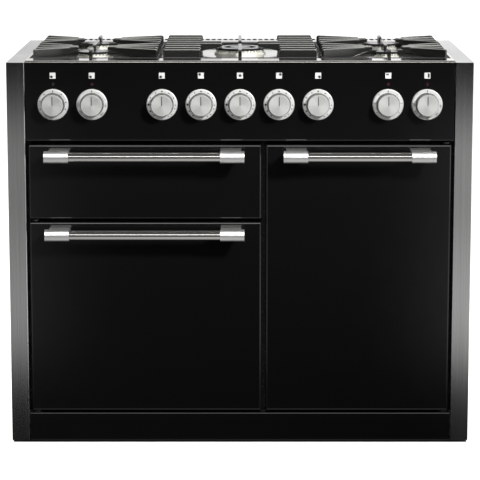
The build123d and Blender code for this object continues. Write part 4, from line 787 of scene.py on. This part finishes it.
def lay_sheet(name, width, depth, place, finish):
    """A flat sheet of the stage, lying about a place."""
    shape = bmesh.new()
    bmesh.ops.create_grid(shape, x_segments=1, y_segments=1, size=0.5)
    bmesh.ops.scale(shape, vec=(width, depth, 1), verts=shape.verts)
    mesh = bpy.data.meshes.new(name)
    shape.to_mesh(mesh)
    shape.free()
    mesh.materials.append(finish)
    sheet = bpy.data.objects.new(name, mesh)
    sheet.location = place
    bpy.context.scene.collection.objects.link(sheet)
    sheet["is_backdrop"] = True
    return sheet


pale, tree, shader, place = new_finish("pale_studio_floor", Roughness=0.7, Emission_Strength=FLOOR_GLOW,
                                       Emission_Color=linear("#ffffff"))
mottle = add_node(tree, "ShaderNodeTexNoise", {"Vector": place, "Scale": 1000 / MOTTLE_MM, "Detail": 2.0})
base = add_node(tree, "ShaderNodeMix", {"Factor": mottle.outputs["Fac"], "A": linear("#f0f0ee"),
                                        "B": linear("#f6f6f4")}, data_type="RGBA")
tree.links.new(base.outputs["Result"], shader.inputs["Base Color"])
floor = lay_sheet("floor", FLOOR_SIDE, FLOOR_SIDE, (0, 0, 0), pale)
floor.visible_glossy = False
floor.visible_diffuse = False
# Painted shade: a dark card lies under the cooker, where the studio's light doesn't reach.
shade_card_finish = new_finish("painted_shade_card", Roughness=0.9, Base_Color=linear("#0c0c0c"))[0]
low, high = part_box("side_trims")
lay_sheet("painted_shade_under_cooker", high.x - low.x - 2 * SHADE_CARD_INSET, high.y - low.y - 2 * SHADE_CARD_INSET,
          ((low.x + high.x) / 2, (low.y + high.y) / 2, SHADE_CARD_RISE), shade_card_finish)

# A heading has length one, with parts to the right, to the back and up.
BEHIND_FROM, BEHIND_TO = 0.0, 0.3          # to the back, where the white surround comes in
BESIDE_FROM, BESIDE_TO = 0.06, 0.16        # to either side, where the drapes give way to walls
SLANT_REACH = 0.2                          # to either side, where the slant in brightness ends
LEFT_STRENGTH, RIGHT_STRENGTH = 0.75, 1.25
world = bpy.data.worlds.new("studio")
bpy.context.scene.world = world
world.use_nodes = True
tree = world.node_tree
surround = tree.nodes["Background"]
heading = add_node(tree, "ShaderNodeSeparateXYZ", {
    "Vector": add_node(tree, "ShaderNodeTexCoord").outputs["Generated"]})
behind = add_node(tree, "ShaderNodeMapRange", {"Value": heading.outputs["Y"], "From Min": BEHIND_FROM,
                                               "From Max": BEHIND_TO}, interpolation_type="SMOOTHSTEP")
height = add_node(tree, "ShaderNodeMapRange", {"Value": heading.outputs["Z"], "From Min": -1.0,
                                               "From Max": 1.0})
aside = add_node(tree, "ShaderNodeMath", {0: heading.outputs["X"]}, operation="ABSOLUTE")
beside = add_node(tree, "ShaderNodeMapRange", {"Value": aside.outputs["Value"], "From Min": BESIDE_FROM,
                                               "From Max": BESIDE_TO}, interpolation_type="SMOOTHSTEP")
# What the cooker mirrors, as pairs of the part upwards and the brightness there: dark drapes straight ahead
# of the fronts, a pale wall low at each side of them, a strip light above, and white all round behind.
AHEAD_LEVELS = ((-1.0, 0.6), (-0.5, 0.55), (-0.33, 0.08), (-0.26, 0.0), (-0.21, 0.01), (-0.16, 0.03),
                (-0.13, 0.05), (-0.105, 0.0), (-0.06, 0.0), (0.33, 0.02), (0.36, 5.5), (0.45, 5.5),
                (0.48, 0.15), (0.85, 0.15), (0.9, 0.05), (1.0, 0.1))
ASIDE_LEVELS = ((-1.0, 0.5), (-0.5, 0.42), (-0.33, 0.05), (-0.25, 0.0), (-0.24, 0.02), (-0.224, 0.86),
                (-0.208, 1.0), (-0.19, 0.86), (-0.16, 0.56), (-0.136, 0.72), (-0.122, 0.4), (-0.104, 0.0),
                (0.0, 0.02), (0.33, 0.02), (0.36, 0.6), (0.45, 0.6), (0.48, 0.15), (0.85, 0.15), (0.9, 0.05),
                (1.0, 0.1))
BEHIND_LEVELS = ((-1.0, 0.6), (-0.3, 0.9), (0.0, 1.0), (0.25, 0.95), (0.5, 0.7), (1.0, 0.5))
walls = []
for levels in (AHEAD_LEVELS, ASIDE_LEVELS, BEHIND_LEVELS):
    wall = add_node(tree, "ShaderNodeValToRGB", {"Fac": height.outputs["Result"]})
    while len(wall.color_ramp.elements) < len(levels):
        wall.color_ramp.elements.new(0.5)
    for stop, (rise, level) in zip(wall.color_ramp.elements, levels):
        stop.position = (rise + 1) / 2
        stop.color = (level, level, level, 1)
    walls.append(wall.outputs["Color"])
ahead = add_node(tree, "ShaderNodeMix", {"Factor": beside.outputs["Result"], "A": walls[0], "B": walls[1]},
                 data_type="RGBA")
mixed = add_node(tree, "ShaderNodeMix", {"Factor": behind.outputs["Result"], "A": ahead.outputs["Result"],
                                         "B": walls[2]}, data_type="RGBA")
seen = add_node(tree, "ShaderNodeLightPath").outputs["Is Camera Ray"]
shown = add_node(tree, "ShaderNodeMix", {"Factor": seen, "A": mixed.outputs["Result"], "B": (1, 1, 1, 1)},
                 data_type="RGBA")
slant = add_node(tree, "ShaderNodeMapRange", {"Value": heading.outputs["X"], "From Min": -SLANT_REACH,
                                              "From Max": SLANT_REACH, "To Min": LEFT_STRENGTH,
                                              "To Max": RIGHT_STRENGTH})
strength = add_node(tree, "ShaderNodeMix", {"Factor": seen, "A": slant.outputs["Result"], "B": 1.0})
tree.links.new(shown.outputs["Result"], surround.inputs["Color"])
tree.links.new(strength.outputs["Result"], surround.inputs["Strength"])


def add_light(name, place, aim, size, watts):
    """A square soft light at a place, aimed at a point."""
    lamp = bpy.data.lights.new(name, "AREA")
    lamp.size = size
    lamp.energy = watts
    light = bpy.data.objects.new(name, lamp)
    light.location = place
    light.rotation_euler = (Vector(aim) - Vector(place)).to_track_quat("-Z", "Y").to_euler()
    bpy.context.scene.collection.objects.link(light)
    return light


KEY_PLACE = (2.7, -3.4, 3.2)
KEY_AIM = (-0.06, -0.27, 0.76)
KEY_WATTS = 1700
KEY_RADIUS = 0.4           # of the lamp, which softens its shadows
KEY_CONE = 24              # degrees; its edge fades all the way in, so the light falls off towards the plinth
spot = bpy.data.lights.new("key_light", "SPOT")
spot.energy = KEY_WATTS
spot.shadow_soft_size = KEY_RADIUS
spot.spot_size = math.radians(KEY_CONE)
spot.spot_blend = 1.0
key = bpy.data.objects.new("key_light", spot)
key.location = KEY_PLACE
key.rotation_euler = (Vector(KEY_AIM) - Vector(KEY_PLACE)).to_track_quat("-Z", "Y").to_euler()
bpy.context.scene.collection.objects.link(key)
OVERHEAD_HEIGHT = 4.5
OVERHEAD_SIDE = 5.0
OVERHEAD_WATTS = 260
overhead = add_light("overhead_light", (0, 0, OVERHEAD_HEIGHT), (0, 0, 0), OVERHEAD_SIDE, OVERHEAD_WATTS)
overhead.visible_glossy = False
# Two softboxes that show only as gloss on the pieces, one high in front and one low at the right
FRONT_BOX_PLACE = (0, -2.73, 2.79)
FRONT_BOX_AIM = (0, -0.318, 0.69)
FRONT_BOX_WIDTH, FRONT_BOX_HEIGHT = 2.4, 3.0
FRONT_BOX_WATTS = 75
SIDE_BOX_PLACE = (4.2, -2.4, 0.9)
SIDE_BOX_AIM = (0, 0, 0.9)
SIDE_BOX_WIDTH = 2.0
SIDE_BOX_WATTS = 25
softbox = add_light("front_softbox", FRONT_BOX_PLACE, FRONT_BOX_AIM, FRONT_BOX_WIDTH, FRONT_BOX_WATTS)
softbox.data.shape = "RECTANGLE"
softbox.data.size_y = FRONT_BOX_HEIGHT
side_box = add_light("side_softbox", SIDE_BOX_PLACE, SIDE_BOX_AIM, SIDE_BOX_WIDTH, SIDE_BOX_WATTS)
for box in (softbox, side_box):
    box.visible_camera = False
    box.visible_diffuse = False
# Black flags keep the front softbox off the hob's bright rolled edge and off the handle bars.
flagged = bpy.data.collections.new("flagged_from_softbox")
for name in ("hob_top", "left_handle_bar", "right_handle_bar", "grill_handle_bar"):
    flagged.objects.link(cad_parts[name])
softbox.light_linking.receiver_collection = flagged
for shaded in flagged.collection_objects:
    shaded.light_linking.link_state = "EXCLUDE"

scene = bpy.context.scene
scene.view_settings.view_transform = "Standard"

# Camera
# A long lens in front of the cooker and a little above the hob, tilted down. In the photograph the sides
# stay upright. The shift for that would stay on in the other views too, so here they lean in a little.

CAMERA_DISTANCE = 5.0
CAMERA_HEIGHT = 1.39
CAMERA_TILT = 9.46         # degrees down
CAMERA_SHIFT = -0.06       # share of the frame
LENS_MM = 162.8
SENSOR_MM = 36.0
front_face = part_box("side_trims")[0].y
lens = bpy.data.cameras.new("camera")
lens.sensor_width = SENSOR_MM
lens.lens = LENS_MM
lens.shift_y = CAMERA_SHIFT
camera = bpy.data.objects.new("camera", lens)
camera.location = (0, front_face - CAMERA_DISTANCE, CAMERA_HEIGHT)
camera.rotation_euler = (math.radians(90 - CAMERA_TILT), 0, 0)
scene.collection.objects.link(camera)
scene.camera = camera

# Bounds of the finished model, leaving out the stage
low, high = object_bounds()
